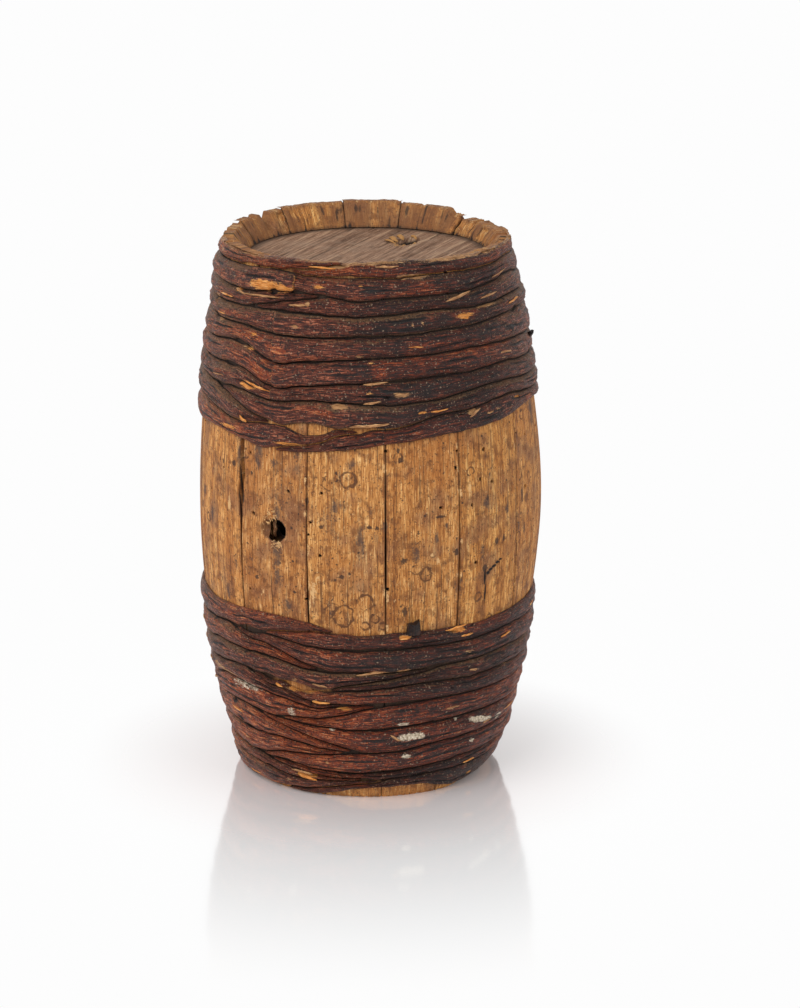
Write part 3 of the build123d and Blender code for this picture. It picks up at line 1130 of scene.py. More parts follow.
@dataclass
class Head:
    """One head of three boards, sawn across the keg and let into the croze."""

    name: str
    level: float
    facing: int
    run: float = 97.0
    middle_board: float = 38.0
    board_gap: float = 0.2
    thickness: float = 7.0
    bevel: float = 6.0
    clearance: float = 0.15
    grid: float = 0.7
    sunk: float = 0.25
    grain_shift: float = 91.0
    knot_depth: float = 3.6
    knot: Triple | None = None

    def build_board(self, number: int, low: float, high: float) -> Mesh:
        """Make one board from a grid that is drawn in to the head's circle.

        Args:
            number: the board's place.
            low: its first edge, across the run of the boards.
            high: its other edge.

        Returns:
            The board's mesh in millimetres.
        """
        inner = FORM.outside(self.level) - FORM.end_wall
        radius = inner + FORM.croze_depth - self.clearance
        low, high = max(low, -radius * 0.997), min(high, radius * 0.997)
        mesh = bmesh.new()
        bmesh.ops.create_grid(mesh, x_segments=round(2 * radius / self.grid),
                              y_segments=round((high - low) / self.grid), size=0.5)
        marks = painted_layers(mesh, "marks")[0]
        for vert in mesh.verts:
            across = (low + high) / 2 + vert.co.y * (high - low)
            vert.co = (2 * vert.co.x * sqrt(radius ** 2 - across ** 2), across, 0)
        made = bmesh.ops.extrude_face_region(mesh, geom=mesh.faces[:])
        back = [item for item in made["geom"] if isinstance(item, bmesh.types.BMVert)]
        for vert in back:
            reach = hypot(vert.co.x, vert.co.y)
            slope = min(1.0, max(0.0, (inner - self.clearance - reach) / self.bevel))
            vert.co.z = -FORM.head_edge - slope * (self.thickness - FORM.head_edge)
        under = set(back)
        for vert in mesh.verts:
            along, across, z = vert.co
            if vert not in under:
                edge = min(across - low, high - across)
                z = -self.sunk - 0.3 * smooth(edge, 0.7, 0.0)
                z += 0.12 * wobble(number + 11, across * 0.5, along * 0.03)
                z += 0.16 * wobble(number + 15, across * 0.06, along * 0.02)
                check = wobble(number + 19, across * 0.9, along * 0.035)
                split = smooth(check, 0.42, 0.6)
                z -= 0.5 * split
                # Board edges are darkened as dirt at the joints, and splits as painted shade
                grime_and_shade = max(0.55 * smooth(edge, 0.7, 0.1), 0.9 * split)
                # The head's outer edge, under the rim, is painted darker as shade
                rim = smooth(hypot(along, across), inner - 6, inner) * 0.75
                vert[marks] = (0, max(grime_and_shade, rim), 0, 0)
                if self.knot:
                    z = self.knot_hole(vert, marks, along, across, z)
            vert.co.z = z
        lay_grain(mesh, lambda vert: (vert.co.y + number * self.grain_shift + self.level,
                                      vert.co.x))
        return mesh

    def knot_hole(self, vert: bmesh.types.BMVert, layer: object, along: float, across: float,
                  z: float) -> float:
        """Sink the hollow of a fallen knot, painted dark as shade, with torn wood on one side.

        Args:
            vert: point of the board's face.
            layer: the marks layer.
            along: its place along the boards.
            across: its place across them.
            z: its height so far.

        Returns:
            Its new height.
        """
        side, reach, size = self.knot
        angle = radians(FRONT + side - self.run)
        off_x = along - reach * cos(angle)
        off_y = across - reach * sin(angle)
        near = hypot(off_x / 2.2, off_y) / size + 0.25 * wobble(51, off_x * 0.5, off_y * 0.9)
        if near < 1.7:
            hollow = smooth(near, 1.05, 0.75)
            torn = smooth(near, 1.7, 1.0) * smooth(off_x, 4.0, -3.0)
            # The knot hole is painted dark as shade
            vert[layer] = (0, 0.4 * hollow, 0.6 * torn * (1 - hollow), hollow)
            return z - self.knot_depth * hollow + 1.3 * torn * abs(wobble(52, off_x, off_y * 1.3))
        return z

    def build(self) -> None:
        """Build, turn and dress the three boards."""
        half, edge = self.middle_board / 2, 200.0
        gap = self.board_gap / 2
        spans = ((-edge, -half - gap), (-half + gap, half - gap), (half + gap, edge))
        for number, (low, high) in enumerate(spans, start=1):
            mesh = self.build_board(number, low, high)
            turned = Matrix.Rotation(radians(self.run), 4, "Z")
            if self.facing < 0:
                turned = Matrix.Rotation(pi, 4, "X") @ turned
            place = Matrix.Translation((0, 0, self.level)) @ turned
            bmesh.ops.transform(mesh, matrix=place, verts=mesh.verts)
            node = f"{self.name}_board_{number}"
            finish_piece(mesh, f"sawn_{node}", HEAD_WOOD.material(), (node,))


# What a strip is painted with: the layers that its finish reads
Look = tuple[tuple[str, tuple[float, float, float, float]], ...]
DRY: Look = (("wear", (0.0, 0.0, 0.0, 1.0)), ("age", (0.4, 0.9, 0.0, 1.0)))
BRIGHT: Look = (("wear", (0.75, 0.0, 0.0, 1.0)), ("age", (0.5, 0.4, 0.0, 1.0)))
SPLIT_HEAD: Look = (("marks", (0.0, 0.0, 0.75, 0.0)),)
FRAYED: Look = (("marks", (0.0, 0.0, 0.6, 0.0)), ("wear", (0.45, 0.0, 0.0, 0.0)),
                ("tint", (1.0, 1.0, 1.0, 1.0)))
TONGUE: Look = (("marks", (0.0, 0.0, 0.35, 0.0)), ("wear", (1.0, 0.0, 0.3, 0.6)),
                ("tint", (1.0, 1.0, 1.0, 1.0)))


@dataclass(frozen=True)
class Shred:
    """A torn strip between two points, each given as direction, height and radius."""

    start: Triple
    end: Triple
    wide: float
    thick: float
    bow: float
    look: Look
    flat: bool = False
    rows: int = 18
    segments: int = 8

    def point(self, place: Triple) -> Vector:
        """Turn a place on the keg into a point.

        Args:
            place: direction, height and radius.

        Returns:
            The point in millimetres.
        """
        side, z, radius = place
        turn = radians(FRONT + side)
        return Vector((radius * cos(turn), radius * sin(turn), z))

    def add(self, mesh: Mesh) -> None:
        """Add the strip to a mesh as a tapered bar, ragged along its edges.

        Args:
            mesh: mesh in millimetres that gets the strip, its grain and its colours.
        """
        # Points of earlier strips are tagged, so that only this strip's own are shaped
        for vert in mesh.verts:
            vert.tag = True
        made = bmesh.ops.create_cone(mesh, cap_ends=True, segments=self.segments, radius1=0.5,
                                     radius2=0.5, depth=1)
        sides = {e for v in made["verts"] for e in v.link_edges
                 if abs(e.verts[0].co.z - e.verts[1].co.z) > 0.5}
        bmesh.ops.subdivide_edges(mesh, edges=list(sides), cuts=self.rows)
        verts = [v for v in mesh.verts if not v.tag]
        begin, finish = self.point(self.start), self.point(self.end)
        length = (finish - begin).length
        middle = (begin + finish) / 2
        out = Vector((0, 0, 1)) if self.flat else Vector((middle.x, middle.y, 0)).normalized()
        run = (finish - begin).normalized()
        beside = run.cross(out).normalized()
        lay_grain(mesh, lambda vert: (vert.co.x * self.wide + self.start[0], vert.co.z * length),
                  {face for vert in verts for face in vert.link_faces})
        key = self.start[0] + self.start[1]
        for vert in verts:
            share = vert.co.z + 0.5
            body = 0.12 + 0.88 * (4 * share * (1 - share)) ** 0.55
            place = share * length
            wide = self.wide * body * (1 + 0.45 * wobble(key, place * 0.4))
            thick = self.thick * body * (1 + 0.4 * wobble(key + 2, place * 0.5))
            line = 0.35 * self.wide * wobble(key + 4, share * 3)
            for name, value in self.look:
                vert[mesh.verts.layers.float_color[name]] = Vector(value)
            vert.co = (begin.lerp(finish, share) + beside * (vert.co.x * wide + line)
                       + out * (vert.co.y * thick + self.bow * 4 * share * (1 - share)))


@dataclass(frozen=True)
class ShredSet:
    """Torn strips that share one finish."""

    name: str
    finish: Finish
    slot: str
    shreds: tuple[Shred, ...]

    def build(self) -> None:
        """Make all the strips as one piece."""
        mesh = bmesh.new()
        mesh.loops.layers.uv.new("grain")
        painted_layers(mesh, *sorted({name for shred in self.shreds for name, _ in shred.look}))
        for shred in self.shreds:
            shred.add(mesh)
        finish_piece(mesh, self.name, self.finish.material())


@dataclass(frozen=True)
class TwigStub:
    """A side shoot cut short where it leaves a withy."""

    name: str
    side: float
    z: float
    radius: float
    length: float
    tilt: float
    out: float = 1.6

    def build(self) -> None:
        """Make the stub from a cone, flared at its foot and cut aslant at its end."""
        mesh = bmesh.new()
        bmesh.ops.create_cone(mesh, cap_ends=True, segments=20, radius1=self.radius * 1.3,
                              radius2=self.radius, depth=self.length)
        upright = [e for e in mesh.edges if abs(e.verts[0].co.z - e.verts[1].co.z) > 0.5]
        bmesh.ops.subdivide_edges(mesh, edges=upright, cuts=8)
        layers = painted_layers(mesh, "wear", "age")
        for vert in mesh.verts:
            turn = atan2(vert.co.y, vert.co.x)
            ridge = 1 + 0.2 * wobble(self.side, cos(turn) * 2, sin(turn) * 2 + vert.co.z * 0.3)
            vert.co.x *= ridge * 0.7
            vert.co.y *= ridge
            lift = smooth(vert.co.z, 0, self.length / 2)
            vert.co.z += lift * (0.3 * vert.co.y + 0.55 * abs(vert.co.y)
                                 + 0.4 * wobble(self.z, vert.co.y * 2))
            paint(vert, layers, ((0.0, 0.1, 0.0, 1.0), (0.2, 0.0, 0.75, 1.0)))
        lay_grain(mesh, lambda vert: (vert.co.x + vert.co.y, vert.co.z))
        angle = radians(FRONT + self.side)
        out = FORM.outside(self.z) + FORM.swelled(self.side, self.z) + self.out
        place = (Matrix.Translation((out * cos(angle), out * sin(angle), self.z))
                 @ Matrix.Rotation(angle, 4, "Z") @ Matrix.Rotation(radians(self.tilt), 4, "Y"))
        bmesh.ops.transform(mesh, matrix=place, verts=mesh.verts)
        finish_piece(mesh, self.name, BARK.material(), sharp=35.0)


class LapKind(Enum):
    """How the two ends of a withy meet."""

    LOWER_STARTS = "both ends taper, the start below"
    UPPER_STARTS = "both ends taper, the start above"
    START_OVER = "the start is cut square and lies on the tail"
    TAIL_OVER = "the tail is cut square and lies on the start"


LOWER_STARTS, UPPER_STARTS, START_OVER, TAIL_OVER = LapKind


@dataclass(frozen=True)
class Lap:
    """Where the two ends of a withy meet, and for how many millimetres."""

    kind: LapKind
    side: float
    long: float = 41.0

    def tapered(self) -> bool:
        """Whether the two ends lie beside each other."""
        return self.kind in (LOWER_STARTS, UPPER_STARTS)


@dataclass(frozen=True)
class Opening:
    """A lens-shaped gap between two withies: its edge, direction, half width and height."""

    edge: int
    side: float
    half: float
    tall: float


@dataclass
class HoopBand:
    """Nine withies bent round one end of the keg, each with its ends lapped."""

    name: str
    edges: tuple[tuple[float, ...], ...]
    laps: tuple[Lap, ...]
    openings: tuple[Opening, ...]
    redness: tuple[float, ...]
    dustiness: tuple[float, ...]
    seed: float
    marks: MarkMap
    # Where rods are thinner or thicker: hoop, direction, half width, share of the crown
    slimmed: tuple[tuple[int, float, float, float], ...] = ()
    greyed_top: float = 0.0
    # The side where the bark is darker: its middle, half width and depth
    darker_side: Triple = (26.0, 44.0, 0.66)
    dusty_left: float = 0.45
    dusty_right: float = 0.0
    crown: float = 3.2
    furthest: float = 73.75
    gap: float = 0.5
    clearance: float = 0.05
    tip_width: float = 0.8
    tip_crown: float = 1.1
    lift: float = 1.3
    pitch: float = 1.1
    back_points: int = 24
    seat_points: int = 3
    grain_width: float = 22.0
    taper_end: float = 1.18
    overlap_end: float = 1.4

    def border(self, edge: int, side: float) -> float:
        """Height where two hoops meet, with the waver of real rods.

        Args:
            edge: the border's place in the band, counted from the top.
            side: direction from the front.

        Returns:
            The height.
        """
        x, y = cos(radians(side)), sin(radians(side))
        waver = 0.4 * wobble(self.seed + edge, 11 * x, 11 * y)
        waver += 0.2 * wobble(self.seed + edge + 20, 30 * x, 30 * y)
        behind = smooth(abs(apart(side, 0)), 92, 130)
        waver += 1.2 * behind * wobble(self.seed + edge + 40, 2.2 * x, 2.2 * y)
        return around(COLUMNS, self.edges[edge], side) + waver

    def slack(self, edge: int, side: float) -> float:
        """Height of the gap at a border.

        Args:
            edge: the border's place in the band, counted from the top.
            side: direction from the front.

        Returns:
            The gap's height.
        """
        gap = self.gap
        for opening in self.openings:
            if opening.edge == edge:
                off = abs(apart(side, opening.side)) / opening.half
                gap = max(gap, opening.tall * smooth(off, 1.0, 0.15))
        return gap

    def room(self, index: int, side: float) -> Pair:
        """Room that a hoop takes in one direction.

        Args:
            index: the hoop's place in the band.
            side: direction from the front.

        Returns:
            Its lowest and highest height.
        """
        high = self.border(index, side) - self.slack(index, side) / 2
        low = self.border(index + 1, side) + self.slack(index + 1, side) / 2
        return max(0.35, low), min(FORM.height - 0.3, high)

    def rod(self, index: int, from_start: float, from_end: float, side: float
            ) -> tuple[float, float, float, float]:
        """Size of a rod at one place along it.

        Args:
            index: the hoop's place in the band.
            from_start: distance from its start, in laps.
            from_end: distance from its end, in laps.
            side: direction from the front.

        Returns:
            Low edge, high edge, how far its flat side is lifted, and its crown.
        """
        low, high = self.room(index, side)
        kind, middle = self.laps[index].kind, (low + high) / 2
        crown = self.crown * min(1.0, 0.5 + 0.5 * (high - low) / 8)
        crown *= 1 + 0.12 * wobble(self.seed + index * 1.7 + 60, side * 0.04)
        for hoop, place, wide, share in self.slimmed:
            off = abs(apart(side, place))
            crown *= 1 - (1 - share) * smooth(off, wide, 0.0) * (hoop == index)
        crown = min(crown, self.furthest - FORM.outside(middle))
        seat, near = 0.0, min(from_start, from_end)
        if self.laps[index].tapered() and near < self.taper_end:
            thickest = high - low - 2 * self.tip_width - self.gap
            width = self.tip_width + thickest * min(1.0, near)
            width += (high - low - width) * smooth(near, 1.0, self.taper_end)
            crown = self.tip_crown + (crown - self.tip_crown) * min(1.0, near) ** 0.5
            if (from_start < from_end) == (kind is LOWER_STARTS):
                high = low + width
            else:
                low = high - width
        elif not self.laps[index].tapered() and near < self.overlap_end:
            if (from_start < from_end) == (kind is START_OVER):
                seat = self.lift * smooth(near, 1.2, 0.0)
                crown = min(crown - 0.1 * seat, self.furthest - FORM.outside(middle) - seat)
            else:
                crown = self.tip_crown + (crown - self.tip_crown) * smooth(near, 0.55, 1.05)
                shrink = 0.35 * (high - low) * smooth(near, 0.8, 0.0)
                low, high = low + shrink / 2, high - shrink / 2
        return low, high, seat, crown

    def build_hoop(self, index: int) -> Mesh:
        """Bend one rod round the staves from a flat grid, and dress its bark.

        Args:
            index: the hoop's place in the band.

        Returns:
            The rod's mesh in millimetres, with its grain map and its wear.
        """
        lap = self.laps[index]
        seat_radius = FORM.outside(sum(self.room(index, lap.side)) / 2)
        sweep = degrees(lap.long / seat_radius)
        start = lap.side - sweep * {START_OVER: 0, TAIL_OVER: 1}.get(lap.kind, 0.5)
        length = radians(360 + sweep) * seat_radius
        columns, rows = round(length / self.pitch), self.back_points + self.seat_points
        mesh = bmesh.new()
        bmesh.ops.create_grid(mesh, x_segments=columns, y_segments=rows, size=0.5)
        layers = painted_layers(mesh, "wear", "age")
        lay_grain(mesh, lambda vert: (
            (vert.co.y + 0.5) * self.grain_width + index * 53 + self.seed * 700,
            (vert.co.x + 0.5) * length))
        sizes: dict[int, tuple[float, float, float, float]] = {}
        over_start, over_end = (lap.kind is START_OVER, lap.kind is TAIL_OVER)
        for vert in mesh.verts:
            along = vert.co.x + 0.5
            reach, side = along * length, start + along * (360 + sweep)
            column = round(along * columns)
            if column not in sizes:
                sizes[column] = self.rod(index, reach / lap.long, (length - reach) / lap.long, side)
            low, high, seat, crown = sizes[column]
            step = round((vert.co.y + 0.5) * rows)
            if step <= self.back_points:
                spread = pi * step / self.back_points
                across, proud = cos(spread), sin(spread) ** 0.9
            else:
                across, proud = -1 + 2 * (step - self.back_points) / self.seat_points, 0.0
            ends = min(reach, length - reach)
            sawn = over_start if reach < length / 2 else over_end
            blunt = sqrt(max(0.0, 1 - max(0.0, 1 - ends / (0.5 if sawn else 1.6)) ** 2))
            least = 0.85 if sawn else 0.4
            relief, groove = self.relief(index, reach, across)
            half = (high - low) / 2 * (least + (1 - least) * blunt)
            z = (low + high) / 2 + across * half
            wear, age, raised = self.dress(index, side, z, reach, across, proud,
                                           ends if sawn else 9.0)
            # Grooves along the rod are painted dark as shade
            age[2] = max(age[2], groove * proud)
            rise = crown * proud * relief * (least + (1 - least) * blunt)
            rise = max(0.0, rise + min(1.0, proud * 1.5) * (raised - 0.6 * groove))
            rise = min(rise, self.furthest - FORM.outside(z) - seat)
            radius = FORM.outside(z) + FORM.swelled(side, z) + self.clearance + seat + rise
            paint(vert, layers, (wear, age))
            turn = radians(FRONT + side)
            vert.co = (radius * cos(turn), radius * sin(turn), z)
        bmesh.ops.remove_doubles(mesh, verts=mesh.verts, dist=1e-4)
        bmesh.ops.holes_fill(mesh, edges=[e for e in mesh.edges if e.is_boundary], sides=0)
        return mesh

    def relief(self, index: int, reach: float, across: float) -> Pair:
        """Ridges and grooves that run along a rod.

        Args:
            index: the hoop's place in the band.
            reach: distance along the rod.
            across: -1 at the lower edge to 1 at the upper.

        Returns:
            Share of the crown that is left, and how deep a groove is from 0 to 1.
        """
        key = self.seed + index * 3.7
        lump = 0.20 * wobble(key + 1, reach * 0.035, across * 0.8)
        lump += 0.14 * wobble(key + 2, reach * 0.04, across * 3.4)
        lump += 0.13 * wobble(key + 3, reach * 0.2, across * 2.4)
        lump += 0.07 * wobble(key + 4, reach * 0.35, across * 6.0)
        groove = 0.0
        for number, home in enumerate((0.38, -0.3)):
            wander = home + 0.5 * wobble(key + 6 + number, reach * 0.022)
            open_here = smooth(wobble(key + 9 + number, reach * 0.045), -0.05, 0.3)
            groove = max(groove, open_here * smooth(abs(across - wander), 0.17, 0.04))
        return min(1.0, 0.84 + lump - 0.08 * across), groove

    def dress(self, index: int, side: float, z: float, reach: float, across: float,
              proud: float, cut: float) -> tuple[list[float], list[float], float]:
        """Colour values of one point of a rod.

        Args:
            index: the hoop's place in the band.
            side: direction from the front.
            z: height.
            reach: distance along the rod.
            across: -1 at the lower edge to 1 at the upper.
            proud: 0 at the staves to 1 on the rod's back.
            cut: distance to a sawn end.

        Returns:
            Raw wood, dust and lichen, then redness, greyed wood, hollow, which is painted shade,
            how little the bark is darkened, and how far the surface is raised.
        """
        key = self.seed + index * 5.3
        side = apart(side, 0)
        dust = smooth(across, 0.1, 0.8) * (0.6 + 0.7 * wobble(key, reach * 0.05, across))
        dust = max(dust, 0.9 * smooth(proud, 0.85, 0.45)) * self.dustiness[index]
        dust += self.dusty_left * smooth(side, -36, -62) * smooth(side, -140, -110)
        dust += self.dusty_right * smooth(side, 46, 66) * smooth(side, 140, 110)
        red = self.redness[index] + 0.35 * wobble(key + 1, reach * 0.025, across * 0.8)
        # Bark made darker on one side
        place, reaches, depth = self.darker_side
        off = abs(apart(side, place))
        grime_and_shade = depth * smooth(off, reaches, reaches * 0.3)
        grime_and_shade *= 0.8 + 0.6 * wobble(key + 3, reach * 0.03, across * 0.6)
        red += 0.15 * smooth(side, -30, -62) * smooth(side, -140, -110)
        # Painted shade where the rod meets the staves and its neighbours
        hollow = 0.85 * smooth(proud, 0.5, 0.12)
        raw, crust, raised = 0.45 * smooth(cut, 0.7, 0.3), 0.0, 0.0
        grey = 0.0
        if index == 0:
            grey = self.greyed_top * smooth(across, 0.3, 0.8) * (
                0.8 + 0.5 * wobble(key + 2, reach * 0.08))
            hollow *= smooth(across, 0.8, 0.2)
        for mark in self.marks.near(side, z):
            along = radians(apart(side, mark.side)) * FORM.outside(z)
            up = z - mark.z - mark.slope * along
            if abs(along) > mark.wide * self.marks.reach or abs(up) > mark.tall * self.marks.reach:
                continue
            near = hypot(along / mark.wide, up / mark.tall)
            near += 0.3 * wobble(mark.side, along * 0.5, up * 0.9)
            amount = mark.strength * smooth(near, 1.4, 0.4)
            if mark.kind is RAW:
                raw = max(raw, amount)
                raised = min(raised, -0.35 * smooth(near, 1.1, 0.7))
                hollow *= 1 - amount
            elif mark.kind is PALE:
                grey = max(grey, amount)
                raised = max(raised, 0.15 * amount)
            elif mark.kind is RED:
                red += 0.5 * amount
            elif mark.kind is LICHEN:
                crust = max(crust, amount)
                raised = max(raised, 0.2 * amount * (1 + wobble(mark.z, along * 2, up * 2)))
            elif mark.kind is SPOT:
                raised = max(raised, 0.7 * smooth(near, 1.2, 0.3) - 0.5 * smooth(near, 0.5, 0.2))
                hollow = max(hollow, 0.9 * smooth(near, 0.55, 0.25))
            else:
                # Holes are sunk and painted dark as shade
                hollow = max(hollow, mark.strength * smooth(near, 1.2, 0.7))
                raised = min(raised, -1.1 * smooth(near, 1.1, 0.6))
        return [raw, dust, crust, 1.0], [red, grey, hollow, 1.0 - grime_and_shade], raised

    def strips(self, dice: Random, count: int) -> list[Shred]:
        """Torn strips of bark that lie on the hoops at random.

        Args:
            dice: source of chance.
            count: how many.

        Returns:
            The strips.
        """
        found = []
        for _ in range(count):
            index, side = dice.randrange(len(self.laps)), dice.uniform(-180, 180)
            long, share = dice.uniform(4, 13), dice.uniform(0.25, 0.75)
            ends = []
            for place, drift in ((side, 0.0), (side + degrees(long / 66), dice.uniform(-0.9, 0.9))):
                low, high = self.room(index, place)
                z = low + share * (high - low) + drift
                out = min(self.crown, self.furthest - 0.5 - FORM.outside(z))
                ends.append((place, z, FORM.outside(z) + FORM.swelled(place, z) + out - 0.55))
            found.append(Shred(ends[0], ends[1], dice.uniform(0.5, 1.1), dice.uniform(0.4, 0.7),
                               dice.uniform(0.1, 0.5), dice.choice((DRY, DRY, BRIGHT))))
        return found

    def build(self) -> None:
        """Build and dress every hoop of the band."""
        for index in range(len(self.laps)):
            node = f"{self.name}_hoop_{index + 1}"
            finish_piece(self.build_hoop(index), f"bark_{node}", BARK.material(), (node,),
                         sharp=70.0)


@dataclass
class Studio:
    """Plain white table, soft lamps and the camera at the reference viewing angle."""

    distance: float = 1713.6
    camera_height: float = 614.4
    aim_height: float = 116.6
    azimuth: float = 31.6
    long_side: float = 1008.0
    focal: float = 4076.0
    shift: float = 32.1
    roll: float = -0.0037
    sensor: float = 36.0
    fill: float = 0.45

    def camera(self) -> None:
        """Set the camera at the reference angle, with the keg a little left of the middle."""
        data = bpy.data.cameras.new("camera")
        data.sensor_width = self.sensor
        data.lens = self.focal / self.long_side * self.sensor
        data.shift_x = self.shift / self.long_side
        turn = radians(self.azimuth)
        eye = Vector((self.distance * sin(turn), -self.distance * cos(turn),
                      self.camera_height)) * MM
        aim = Vector((0, 0, self.aim_height)) * MM
        view = (aim - eye).to_track_quat("-Z", "Y").to_matrix().to_4x4()
        camera = bpy.data.objects.new("camera", data)
        camera.matrix_world = (Matrix.Translation(eye) @ view
                               @ Matrix.Rotation(self.roll, 4, "Z"))
        bpy.context.scene.collection.objects.link(camera)
        bpy.context.scene.camera = camera

    def lamp(self, name: str, azimuth: float, elevation: float, away: float, size: float,
             power: float) -> None:
        """Hang one square soft lamp that faces the keg.

        Args:
            name: the lamp's name.
            azimuth: direction about the axis, counted from the front, positive to the right.
            elevation: angle above the table.
            away: distance in metres.
            size: side of the lamp in metres.
            power: watts.
        """
        data = bpy.data.lights.new(name, "AREA")
        data.shape, data.size, data.energy = "SQUARE", size, power
        turn, rise = radians(FRONT + azimuth), radians(elevation)
        place = Vector((cos(turn) * cos(rise), sin(turn) * cos(rise), sin(rise))) * away
        lamp = bpy.data.objects.new(name, data)
        lamp.matrix_world = (Matrix.Translation(place + Vector((0, 0, 0.1)))
                             @ (-place).to_track_quat("-Z", "Y").to_matrix().to_4x4())
        bpy.context.scene.collection.objects.link(lamp)

    def table(self) -> None:
        """Lay the table."""
        mesh = bmesh.new()
        bmesh.ops.create_grid(mesh, x_segments=2, y_segments=2, size=6.0)
        floor = to_object(mesh, "table")
        floor.data.materials.append(TABLE.material())

    def backdrop(self) -> None:
        """White behind everything, and plain grey light from all round."""
        world = bpy.data.worlds.new("studio")
        bpy.context.scene.world = world
        world.use_nodes = True
        tree = world.node_tree
        tree.nodes.clear()
        path = add_node(tree, "ShaderNodeLightPath")
        seen = add_node(tree, "ShaderNodeMath", {
            0: path.outputs["Is Camera Ray"], 1: path.outputs["Is Glossy Ray"]},
            operation="MAXIMUM").outputs[0]
        fill = add_node(tree, "ShaderNodeBackground", {
            "Color": (1, 1, 1, 1), "Strength": self.fill})
        white = add_node(tree, "ShaderNodeBackground", {"Color": (1, 1, 1, 1), "Strength": 1.0})
        mixed = add_node(tree, "ShaderNodeMixShader", {
            0: seen, 1: fill.outputs[0], 2: white.outputs[0]})
        add_node(tree, "ShaderNodeOutputWorld", {"Surface": mixed.outputs[0]})

    def build(self) -> None:
        """Set up table, lamps, backdrop and camera."""
        self.camera()
        self.table()
        self.backdrop()
        self.lamp("key", -40, 42, 2.0, 1.5, 28)
        self.lamp("fill", 55, 30, 2.2, 1.6, 14)
        view = bpy.context.scene.view_settings
        view.view_transform = "Standard"


